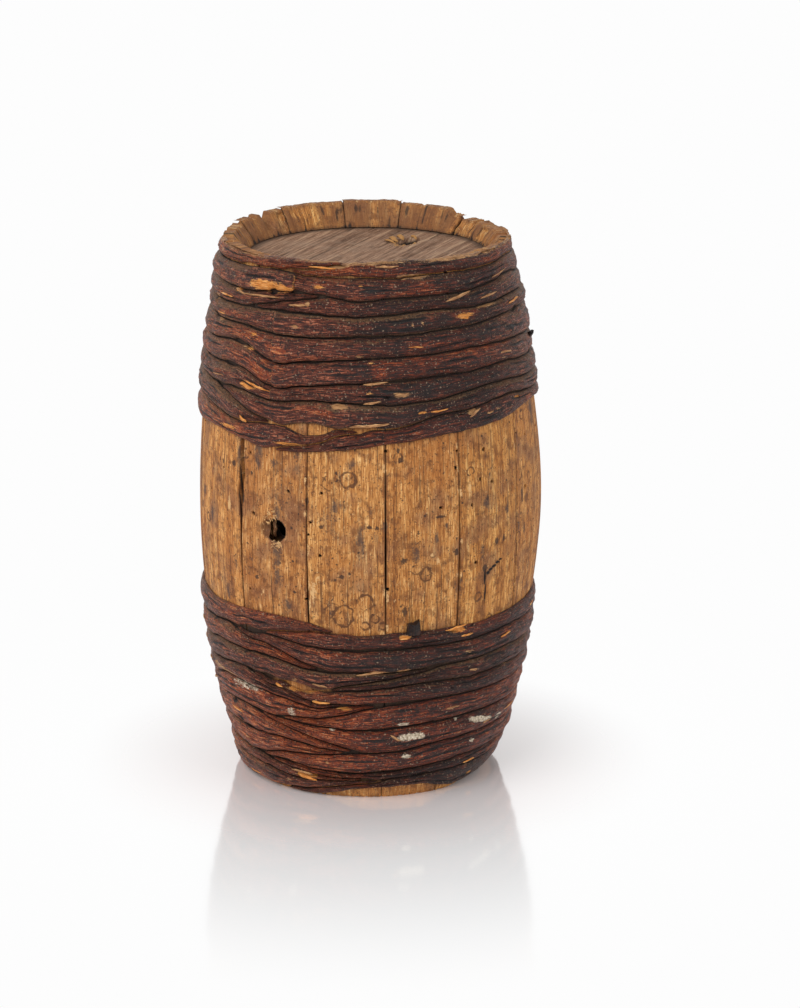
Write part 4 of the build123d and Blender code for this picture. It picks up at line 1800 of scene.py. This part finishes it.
# What the front of the staves bears: kind, direction, height, half sizes, strength if not full
FRONT_MARKS = (
    (SPOT, -51.5, 148.1, 1.3, 1.3, 0.9), (SPOT, -60.2, 147.5, 0.5, 1.6, 0.6),
    (SPOT, -58, 147, 0.5, 1.4, 0.6), (CHIP, -53.9, 129.5, 0.9, 4, 0.9), (SPOT, -46.9, 134, 1, 2),
    (SOOT, -33.1, 152.3, 2.4, 2.4, 0.8), (SOOT, -31.7, 109.3, 2.2, 3, 0.7),
    (SOOT, -30, 138, 7, 12, 0.35), (SPOT, -20.5, 137.5, 0.8, 2, 0.7),
    (RING, -6.6, 148, 4, 3.8, 0.9), (RING, -12.4, 146, 4.2, 3.6, 0.6),
    (RING, -4, 151, 2.4, 2.4, 0.5), (SOOT, -10.5, 136.5, 3.2, 4, 0.75),
    (SOOT, -9.5, 149.5, 2, 3, 0.5), (SPOT, -15.6, 127.1, 0.9, 0.9, 0.9),
    (STAIN, -7.6, 125.5, 4, 4.5, 0.35), (SPOT, 0.5, 127.5, 1.1, 0.8, 0.8),
    (SPOT, 3, 127.2, 0.9, 0.9, 0.8), (SPOT, -8.8, 105.4, 1, 1, 0.9),
    (SPOT, -11, 104, 0.7, 0.7, 0.8), (SPOT, -6.2, 107, 0.6, 0.6, 0.8),
    (RING, -1.1, 94.2, 4.2, 4, 0.8), (RING, -11.9, 90, 3.8, 4.2, 0.6),
    (STAIN, -16.5, 84.6, 2.6, 2.6, 0.8), (RING, 2.2, 86.9, 2.4, 2, 0.8),
    (RING, 5, 83.5, 2, 1.8, 0.8), (RING, -1, 83.6, 2.2, 2, 0.7), (CHIP, -18.7, 98.5, 1.6, 5, 0.8),
    (CHIP, -17, 104, 1.6, 3, 0.6), (SPOT, 11.1, 156.2, 1.2, 1.2, 0.8),
    (SPOT, 10.2, 160.2, 0.7, 1.2, 0.8), (SPOT, 24.4, 130.2, 2.4, 0.6, 0.7),
    (SPOT, 19.1, 131.4, 0.7, 0.7, 0.8), (SOOT, 23.3, 119.4, 1.4, 5, 0.9),
    (SOOT, 16, 114.8, 2.2, 5.5, 0.85), (SPOT, 11.9, 112.4, 1.6, 1.2, 0.8),
    (RING, 19.5, 105.4, 2.6, 3.6, 0.9), (SPOT, 30.8, 113.6, 1.2, 1.5, 0.8),
    (CHIP, 23.7, 110.9, 0.9, 1.5, 0.9), (CHIP, 21.5, 113.8, 0.9, 1, 0.8),
    (SPOT, 12.4, 89.5, 1.4, 2.2, 0.7), (SOOT, 27, 125.8, 0.9, 1.6, 0.8),
    (WORM, 30.8, 150.3, 0.8, 0.8), (CHIP, 36.2, 140.2, 0.7, 3, 0.9),
    (CHIP, 43.5, 137, 0.8, 0.7, 0.6), (SPOT, 44.1, 134.3, 0.8, 1.2, 0.8),
    (SPOT, 48.5, 114.1, 1.2, 1.6, 0.9), (SPOT, 52.3, 114.5, 0.7, 1.6, 0.9),
    (SPOT, 42.9, 103.8, 1.3, 1.5), (CRACK, 43.2, 99.5, 0.7, 4.6), (CRACK, 43.7, 92, 0.6, 5, 0.9),
    (SPOT, 64.5, 130, 0.9, 3.6, 0.9), (SPOT, 66.3, 114.5, 0.7, 3, 0.9),
    (SPOT, 59.9, 78.8, 1.4, 1.2, 0.9), (SPOT, -10.6, 150.6, 0.7, 0.7, 0.8),
    (SOOT, 0.7, 134.4, 1.6, 3, 0.4), (STAIN, -2, 113, 3, 5, 0.3), (STAIN, 11, 120, 4.5, 15, 0.5),
    (STAIN, 22, 97, 5, 7, 0.35), (WORM, 6.4, 100, 0.7, 0.7), (CRACK, 39.6, 90.5, 0.3, 6, 0.6),
    (RING, 15, 100, 3.4, 4.4, 0.35), (WORM, 24.9, 134, 0.7, 0.6), (SPOT, -40.5, 100.5, 1, 1, 0.6),
    (TORN, -36, 123.3, 3.3, 3.9), (STAIN, -33, 126, 9, 9, 0.5), (CRACK, -47.3, 146, 0.8, 5),
    (CRACK, -47.4, 135, 0.6, 4, 0.9), (CRACK, 44.6, 101, 1.3, 0.9), (CRACK, 46, 102.2, 1.5, 0.8),
    (CRACK, 47.6, 103.2, 1.6, 0.7), (CRACK, 49.2, 104.4, 1.5, 0.8, 0.9),
    (CRACK, 50.8, 105.2, 1.5, 0.6, 0.8), (STAIN, 42, 99, 2.5, 6, 0.5),
    (RING, -8.5, 88, 5, 5.4, 0.9), (RING, 16.5, 119, 3, 4, 0.5), (STAIN, 15, 117, 5, 10, 0.5),
    (RING, 37, 113, 3, 4, 0.4), (SOOT, -12, 128, 5, 12, 0.45), (SOOT, 62, 118, 2, 8, 0.6),
    (STAIN, 30, 140, 5, 6, 0.35))

# Tears, crusts and colours of the bark, in the same order; a last value is the slope
UPPER_MARKS = (
    (RAW, -38.5, 226.4, 11.4, 2.7), (HOLE, -37.6, 224, 1.6, 1.4), (PALE, -72, 215.5, 2.6, 1.6, 0.9),
    (PALE, -66, 207.5, 2.4, 1.4, 0.8), (RED, -52.5, 204.5, 14, 1.8),
    (PALE, -46, 199.5, 4.6, 1.5, 0.55), (RED, -34, 201.5, 6.8, 1.8), (RED, -38, 192, 4.6, 4.2, 0.9),
    (RAW, -45, 183.8, 4.8, 1.9), (RAW, -54, 164, 7, 0.9, 0.7), (RAW, -26.5, 161.8, 7.8, 0.8, 0.75),
    (PALE, -26, 211.8, 2.3, 0.9, 0.8), (PALE, -22, 221, 1.3, 1.2, 0.8),
    (PALE, -9.5, 179.3, 4.1, 1.3, 0.9), (PALE, 17.5, 232.5, 8.3, 1.4, 0.8),
    (RAW, 37.3, 214, 4.6, 1.6, 0.75), (RED, 37.3, 214, 8, 3), (PALE, 49.5, 216.3, 7.2, 0.8, 0.8),
    (PALE, 16, 213, 1, 0.8, 0.8), (PALE, 20, 213.3, 1, 0.8, 0.8), (RED, 21.5, 195, 4.2, 3.2),
    (RED, 5.5, 195, 4.3, 3.2, 0.7), (PALE, 11.5, 184.5, 4.2, 1.6, 0.8),
    (PALE, 38, 173.5, 2.6, 1.6, 0.8), (HOLE, -47, 169, 1.6, 1.1), (SPOT, 62, 203, 1.8, 1.5),
    (SPOT, -12, 188.5, 1.6, 1.4), (SPOT, 47, 187, 1.7, 1.5))
LOWER_MARKS = (
    (SPOT, -66, 74, 1.9, 1.7), (RED, -36.5, 67, 12, 3), (PALE, -66.5, 51, 14, 1.2, 0.9),
    (LICHEN, -50, 48.5, 12, 2.4, 0.55), (RAW, -25, 52.2, 9.5, 1.6, 0.6), (RED, -38.5, 43, 14, 4.5),
    (LICHEN, -29, 41, 2.3, 3, 0.6), (HOLE, -62, 36.7, 1.9, 1.2), (HOLE, -59, 29.8, 2.2, 1.6),
    (RAW, -27, 9.8, 5.4, 1.4, 0.95), (PALE, -17, 18, 1.2, 0.7, 0.9), (LICHEN, -14, 34.5, 1.5, 0.9),
    (RAW, -9, 45, 3.4, 1, 0.75), (RAW, 12.2, 78.3, 2.8, 0.9), (RAW, 31.5, 78.5, 4.3, 1.2, 0.9),
    (RED, 45, 77.5, 14, 2.5), (LICHEN, 16, 30.8, 7.5, 1.9, 0.9), (LICHEN, 13, 37.3, 3.3, 1, 0.9),
    (LICHEN, 35, 36, 1, 0.8), (LICHEN, 47.5, 32.5, 8, 1.6, 0.9, -0.2),
    (LICHEN, 60, 30, 3, 1.6, 0.8), (LICHEN, 45, 23, 1.6, 0.9, 0.9), (LICHEN, 15, 21, 2.2, 1.1, 0.9),
    (RED, 30, 43, 30, 5, 0.6), (RED, 55, 30, 20, 7, 0.9), (RED, 45, 19, 18, 4, 0.8),
    (RED, -5, 27, 30, 6, 0.5), (SPOT, 38, 52, 1.7, 1.5), (SPOT, -5, 21, 1.6, 1.4))

# Directions in which the edges of the hoops are given, and their heights there
COLUMNS = (-80, -65, -50, -35, -20, -5, 10, 25, 40, 55, 70, 85,
           120, 150, 180, 229)
UPPER_EDGES = (
    (237.7, 237.6, 238, 238.9, 239, 238.8, 239.4, 239, 238.8,
     238.3, 238.2, 237.5, 235, 235.6, 237.4, 234.2),
    (231, 231.9, 233, 233.4, 232.2, 232.5, 232, 232.7, 232.3,
     232, 232.8, 231.5, 229.8, 230.4, 231.2, 229.6),
    (222.5, 222.4, 222.7, 224.5, 225, 222.7, 223.6, 223.7, 223.7,
     225, 226, 223, 222.8, 224, 222.9, 223.6),
    (215, 215, 216, 216.8, 216.7, 216.2, 217, 218, 216.8, 216.8, 217, 216, 216, 215, 216.6, 215.4),
    (207.8, 207.5, 208, 207, 207.3, 208, 208.3, 209, 209.3,
     210.2, 210, 209, 208.8, 207.4, 209.2, 207.6),
    (197.5, 199.2, 200.5, 195.3, 197.3, 198.7, 199.4, 199.8, 200,
     199.5, 198.5, 196.5, 197.5, 199.6, 198, 199.4),
    (189.3, 189.5, 190.3, 185, 187.3, 188.7, 189.7, 190.3, 190.2,
     191, 189, 188, 188.5, 190, 188.2, 190.4),
    (181.3, 180.5, 181, 179.2, 181, 180.5, 179.7, 180.6, 182.7,
     183, 181, 179.5, 180, 181.6, 179.8, 181.8),
    (171.5, 170, 167.5, 169.3, 168.6, 169.7, 170, 174, 175,
     176.7, 174.5, 173, 172.3, 173.2, 170.8, 171.4),
    (160, 161.2, 160.2, 158, 158.7, 160.8, 163.3, 165, 165.7,
     167, 169, 168, 166, 164.4, 163.4, 161.6))
LOWER_EDGES = (
    (86, 84.6, 85.2, 85.8, 84, 79.4, 80.5, 80.3, 80, 81, 81.5, 82, 81.5, 82.6, 80.4, 83.8),
    (73, 75, 75.7, 75.4, 73, 72.3, 72.7, 72.8, 72.6, 73.7, 73, 72, 72.2, 73.6, 71.8, 74),
    (63, 65.8, 65.7, 65.4, 62, 61.9, 61.9, 63, 63.2, 64, 63, 62.5, 63, 64.4, 62.4, 64.6),
    (53, 55.3, 57.2, 55, 52.5, 53.3, 55, 55.8, 55, 55.3, 54.5, 54, 54.5, 54, 55.8, 54.6),
    (45, 49.3, 49, 47, 44, 46.3, 47.1, 47.6, 47.5, 47, 46.5, 46, 46.2, 44.8, 47.2, 45.2),
    (37, 38.3, 38, 36.3, 35.2, 34.2, 35, 36.2, 36.7, 36.7, 36, 36, 36.2, 35.2, 37.4, 36),
    (27, 27, 26.4, 26.4, 24.4, 22.9, 23, 25.5, 26, 26.6, 26, 26, 26, 26.8, 25.4, 27.4),
    (17.5, 16.6, 15.1, 15, 13, 12.6, 13.6, 14.6, 16, 16, 16.5, 17, 16.7, 17.4, 16, 17.4),
    (10.5, 10, 9.8, 7.5, 7.8, 8.6, 9.6, 10.6, 10.5, 10.5, 10.5, 10.5, 10.3, 9.6, 10.2, 9.8),
    (0.4, 0.4, 0.5, 0.4, 1, 4.4, 5.2, 4.8, 1.4, 2.7, 4.3, 4.8, 3, 2, 2.5, 1))
UPPER_LAPS = (
    Lap(LOWER_STARTS, -20, 22), Lap(TAIL_OVER, -28),
    Lap(LOWER_STARTS, -32, 30), Lap(START_OVER, -35), Lap(START_OVER, -35), Lap(START_OVER, -34),
    Lap(START_OVER, -34.5), Lap(UPPER_STARTS, -48, 30), Lap(LOWER_STARTS, -18, 36))
LOWER_LAPS = (
    Lap(LOWER_STARTS, -25, 32), Lap(UPPER_STARTS, -35),
    Lap(LOWER_STARTS, 4), Lap(UPPER_STARTS, -28), Lap(LOWER_STARTS, -16), Lap(UPPER_STARTS, -26),
    Lap(LOWER_STARTS, -30), Lap(UPPER_STARTS, -24), Lap(LOWER_STARTS, -18))
UPPER_GAPS = (
    (1, -53, 6, 1.2), (1, -8, 8, 1), (2, -37, 3, 2.2), (2, -27, 5, 1.3), (3, -33, 8, 0.8),
    (4, -71, 3, 1.8), (4, -45, 8, 0.8), (4, 0, 20, 0.8), (4, 69, 4.5, 2.2), (5, -52, 5, 1.5),
    (5, -20, 9, 1), (6, -77, 2, 1.5), (6, -56, 6, 1.6), (6, 13, 8, 1), (7, -62, 6, 1),
    (7, -52, 4, 0.9), (7, 0, 8, 0.8), (8, -20, 11, 5), (8, -2, 10, 1.4))
LOWER_GAPS = (
    (1, 0, 25, 1.2), (1, -45, 7, 3), (2, -40, 7, 1), (2, -15, 12, 0.8), (2, 25, 12, 1),
    (3, -38, 5, 2.6), (3, -26, 8, 3), (3, -5, 12, 1), (3, 25, 15, 1), (4, 10, 18, 1.6),
    (4, 30, 10, 0.8), (5, -25, 20, 0.8), (5, 5, 12, 1), (5, 30, 12, 0.8), (6, -55, 6, 1.4),
    (6, -25, 8, 0.7), (6, 15, 15, 0.8), (6, 40, 10, 0.9), (7, -38, 10, 1.3), (7, -10, 8, 1.2),
    (7, 10, 20, 1), (8, -45, 8, 1), (8, 0, 10, 0.7))

UPPER_SHREDS = (
    Shred((-56.5, 222.6, 66.1), (-50, 221.2, 66.6), 1.3, 0.7, 0.4, DRY),
    Shred((-51, 221.4, 66.5), (-33, 222.6, 66.3), 0.9, 0.7, 0.6, DRY),
    Shred((29.5, 221.2, 66.6), (41, 223.8, 66), 1.3, 0.7, 0.6, DRY),
    Shred((-1.5, 189.2, 72.2), (7, 190, 72), 1, 0.6, 0.5, DRY),
    Shred((-1.5, 181, 73.1), (4.5, 182, 73), 0.8, 0.5, 0.3, DRY),
    Shred((-6, 170.8, 73.2), (7.2, 172.3, 73.2), 1.3, 0.6, 0.3, DRY),
    Shred((-47.5, 170.3, 73.3), (-44.5, 167.9, 73), 1.4, 0.7, 0.4, BRIGHT),
    Shred((36, 171.8, 73.2), (40.5, 174.6, 73.1), 1.1, 0.5, 0.2, DRY))
LOWER_SHREDS = (
    Shred((-4.5, 61.4, 71.2), (17, 64.4, 71.4), 1.4, 0.7, 0.4, DRY),
    Shred((26.5, 79.4, 73.2), (35, 80.6, 73.2), 1, 0.5, 0.2, BRIGHT),
    Shred((-35.5, 53.6, 68.9), (-32, 52.2, 69.3), 1, 0.6, 0.6, BRIGHT),
    Shred((8, 32.5, 66.4), (12, 29.6, 66), 1, 0.6, 0.5, DRY),
    Shred((-30.5, 10.2, 60.3), (-22, 8.4, 60), 1.2, 0.6, 0.6, BRIGHT))
HEAD_SHREDS = (
    Shred((161, 229.4, 29.5), (148, 229.2, 25), 2.6, 1.5, 0.8, SPLIT_HEAD, True),
    Shred((156, 229.5, 33), (147, 229.2, 29), 2.2, 1.4, 1.1, SPLIT_HEAD, True),
    Shred((147, 229.3, 35.5), (139, 229.4, 32.5), 1.6, 1.1, 0.9, SPLIT_HEAD, True),
    Shred((163, 229.2, 26), (147, 229.2, 22), 1.4, 0.9, 0.5, SPLIT_HEAD, True))
BUNG_SHREDS = (
    Shred((-34.7, 118.6, 68.9), (-34.2, 127.2, 69.9), 2.1, 1.4, 0.5, TONGUE),
    Shred((-35.9, 119.4, 69.9), (-36.3, 126.6, 70.6), 1.1, 1, 0.4, TONGUE),
    Shred((-36.9, 130.4, 72.7), (-34.6, 127.9, 71.8), 1.2, 0.6, 0.4, FRAYED),
    Shred((-35, 131.2, 72.9), (-33.9, 128.2, 72.2), 0.9, 0.5, 0.5, FRAYED),
    Shred((-38.6, 127.2, 72.6), (-37, 125.2, 71.7), 1, 0.5, 0.4, FRAYED),
    Shred((-33.2, 118.7, 72.5), (-32.6, 115.9, 72.8), 1, 0.5, 0.4, FRAYED),
    Shred((-31.4, 118.6, 72.5), (-31.3, 114.9, 72.9), 1.1, 0.5, 0.4, FRAYED),
    Shred((-37.2, 119.6, 72.2), (-35.6, 118, 72.6), 1, 0.5, 0.4, FRAYED))

# Direction and height of the bung hole
BUNG_PLACE = (StaveRow.bung_side - FRONT, StaveRow.bung_height)

STUBS = (
    TwigStub("twig_stub_lower", 15.3, 81.9, 2.4, 4.4, 6),
    TwigStub("twig_stub_upper", 84, 194, 1.4, 4.2, 50, 1))


def frayed_edge(seed: int, count: int) -> list[Shred]:
    """Fibres that lie torn above left of the bung hole and below it.

    Args:
        seed: makes them the same each time.
        count: how many.

    Returns:
        The fibres.
    """
    dice = Random(seed)
    found = []
    for _ in range(count):
        spread = radians(dice.choice((dice.uniform(95, 155), dice.uniform(245, 290))))
        reach, turn, long = dice.uniform(5.0, 8.5), dice.uniform(0, 2 * pi), dice.uniform(0.9, 2.2)
        ends = []
        for share in (-0.5, 0.5):
            across = reach * cos(spread) + share * long * cos(turn)
            z = BUNG_PLACE[1] + reach * sin(spread) + share * long * sin(turn)
            ends.append((BUNG_PLACE[0] + degrees(across / FORM.bilge_radius), z,
                         FORM.outside(z) - 0.3))
        found.append(Shred(ends[0], ends[1], dice.uniform(0.3, 0.55), 0.5,
                           dice.uniform(0.0, 0.2), FRAYED))
    return found


def random_marks(seed: int, count: int) -> list[Mark]:
    """Scatter small marks over the bare wood all round.

    Args:
        seed: makes them the same each time.
        count: how many.

    Returns:
        The marks.
    """
    dice = Random(seed)
    found = []
    kinds = (SPOT, SPOT, SPOT, SPOT, STAIN, SOOT, CHIP, CHIP, RING, WORM)
    sizes = {SPOT: (0.3, 0.65), STAIN: (1.5, 3.5), SOOT: (1.2, 3.2), CHIP: (0.3, 0.7),
             RING: (1.6, 3.6), WORM: (0.5, 0.75)}
    for _ in range(count):
        kind = dice.choice(kinds)
        wide = dice.uniform(*sizes[kind])
        tall = wide * (dice.uniform(1.0, 3.5) if kind in (CHIP, SOOT) else dice.uniform(0.8, 1.3))
        found.append(Mark(kind, dice.uniform(-180, 180), dice.uniform(76, 170), wide, tall,
                          dice.uniform(0.35, 0.85)))
    return found


def random_tears(seed: int, count: int, low: float, high: float) -> list[Mark]:
    """Scatter small tears and crusts over a band of hoops.

    Args:
        seed: makes them the same each time.
        count: how many.
        low: height where they begin.
        high: height where they end.

    Returns:
        The marks.
    """
    dice = Random(seed)
    kinds = (RAW, PALE, PALE, RED, RED, RED, HOLE, HOLE, SPOT)
    found = []
    for _ in range(count):
        kind = dice.choice(kinds)
        grow = {RED: 2.2, SPOT: 0.6, HOLE: 0.5}.get(kind, 1.0)
        wide = dice.uniform(0.7, 2.8) * grow if kind is not SPOT else dice.uniform(1.2, 1.9)
        tall = dice.uniform(0.4, 0.9) * grow if kind is not SPOT else wide * 0.9
        found.append(Mark(kind, dice.uniform(-180, 180), dice.uniform(low, high), wide, tall,
                          dice.uniform(0.4, 0.85)))
    return found


def random_openings(seed: int, count: int) -> list[Opening]:
    """Scatter gaps between the hoops over the keg's back.

    Args:
        seed: makes them the same each time.
        count: how many.

    Returns:
        The gaps.
    """
    dice = Random(seed)
    return [Opening(dice.randint(1, 8), dice.uniform(80, 275), dice.uniform(3, 15),
                    dice.uniform(0.7, 2.0)) for _ in range(count)]


def build_bands() -> None:
    """Build both bands of withies, with the strips that hang on them."""
    upper = HoopBand(
        "upper", UPPER_EDGES, UPPER_LAPS,
        (*(Opening(*values) for values in UPPER_GAPS), *random_openings(11, 26)),
        redness=(0.56, 0.3, 0.16, 0.26, 0.34, 0.42, 0.3, 0.18, 0.42),
        dustiness=(0.4, 0.6, 0.6, 1.1, 0.6, 0.5, 0.6, 0.9, 0.5), seed=1.3,
        marks=MarkMap([Mark(*values) for values in UPPER_MARKS] + random_tears(3, 120, 162, 236)),
        slimmed=((0, 88, 32, 0.45), (1, 90, 32, 0.55), (2, 90, 28, 0.7), (1, -85, 30, 1.35)),
        greyed_top=0.86, dusty_right=0.35)
    lower = HoopBand(
        "lower", LOWER_EDGES, LOWER_LAPS,
        (*(Opening(*values) for values in LOWER_GAPS), *random_openings(12, 26)),
        redness=(0.36, 0.45, 0.2, 0.34, 0.95, 0.82, 0.82, 0.45, 0.36),
        dustiness=(0.4, 0.6, 1.1, 0.6, 0.3, 0.4, 0.3, 0.5, 0.5), seed=4.9,
        marks=MarkMap([Mark(*values) for values in LOWER_MARKS] + random_tears(8, 120, 4, 82)),
        slimmed=((7, 55, 32, 0.6), (8, 62, 44, 0.42), (8, -82, 30, 1.3), (7, -80, 30, 1.15)),
        darker_side=(31.0, 52.0, 0.66), dusty_left=0.35)
    for band, shreds, seed in ((upper, UPPER_SHREDS, 21), (lower, LOWER_SHREDS, 22)):
        band.build()
        ShredSet(f"{band.name}_band_shreds", BARK, "withy",
                 shreds + tuple(band.strips(Random(seed), 30))).build()


def main() -> None:
    """Build the keg, its small torn bits and the studio."""
    logging.basicConfig(level=logging.INFO, format="%(message)s")
    marks = [Mark(*values) for values in FRONT_MARKS] + random_marks(seed=5, count=560)
    StaveRow(marks=MarkMap(marks)).build()
    top, foot = FORM.height - FORM.head_depth, FORM.head_depth
    Head("top_head", top, 1, knot=(143.0, 30.0, 4.2)).build()
    Head("foot_head", foot, -1).build()
    build_bands()
    ShredSet("bung_hole_tongue", STAVE_WOOD, "stave_wood",
             BUNG_SHREDS + tuple(frayed_edge(seed=41, count=44))).build()
    ShredSet("head_knot_splinters", HEAD_WOOD, "head_wood", HEAD_SHREDS).build()
    for stub in STUBS:
        stub.build()
    Studio().build()


if __name__ == "__main__":
    main()
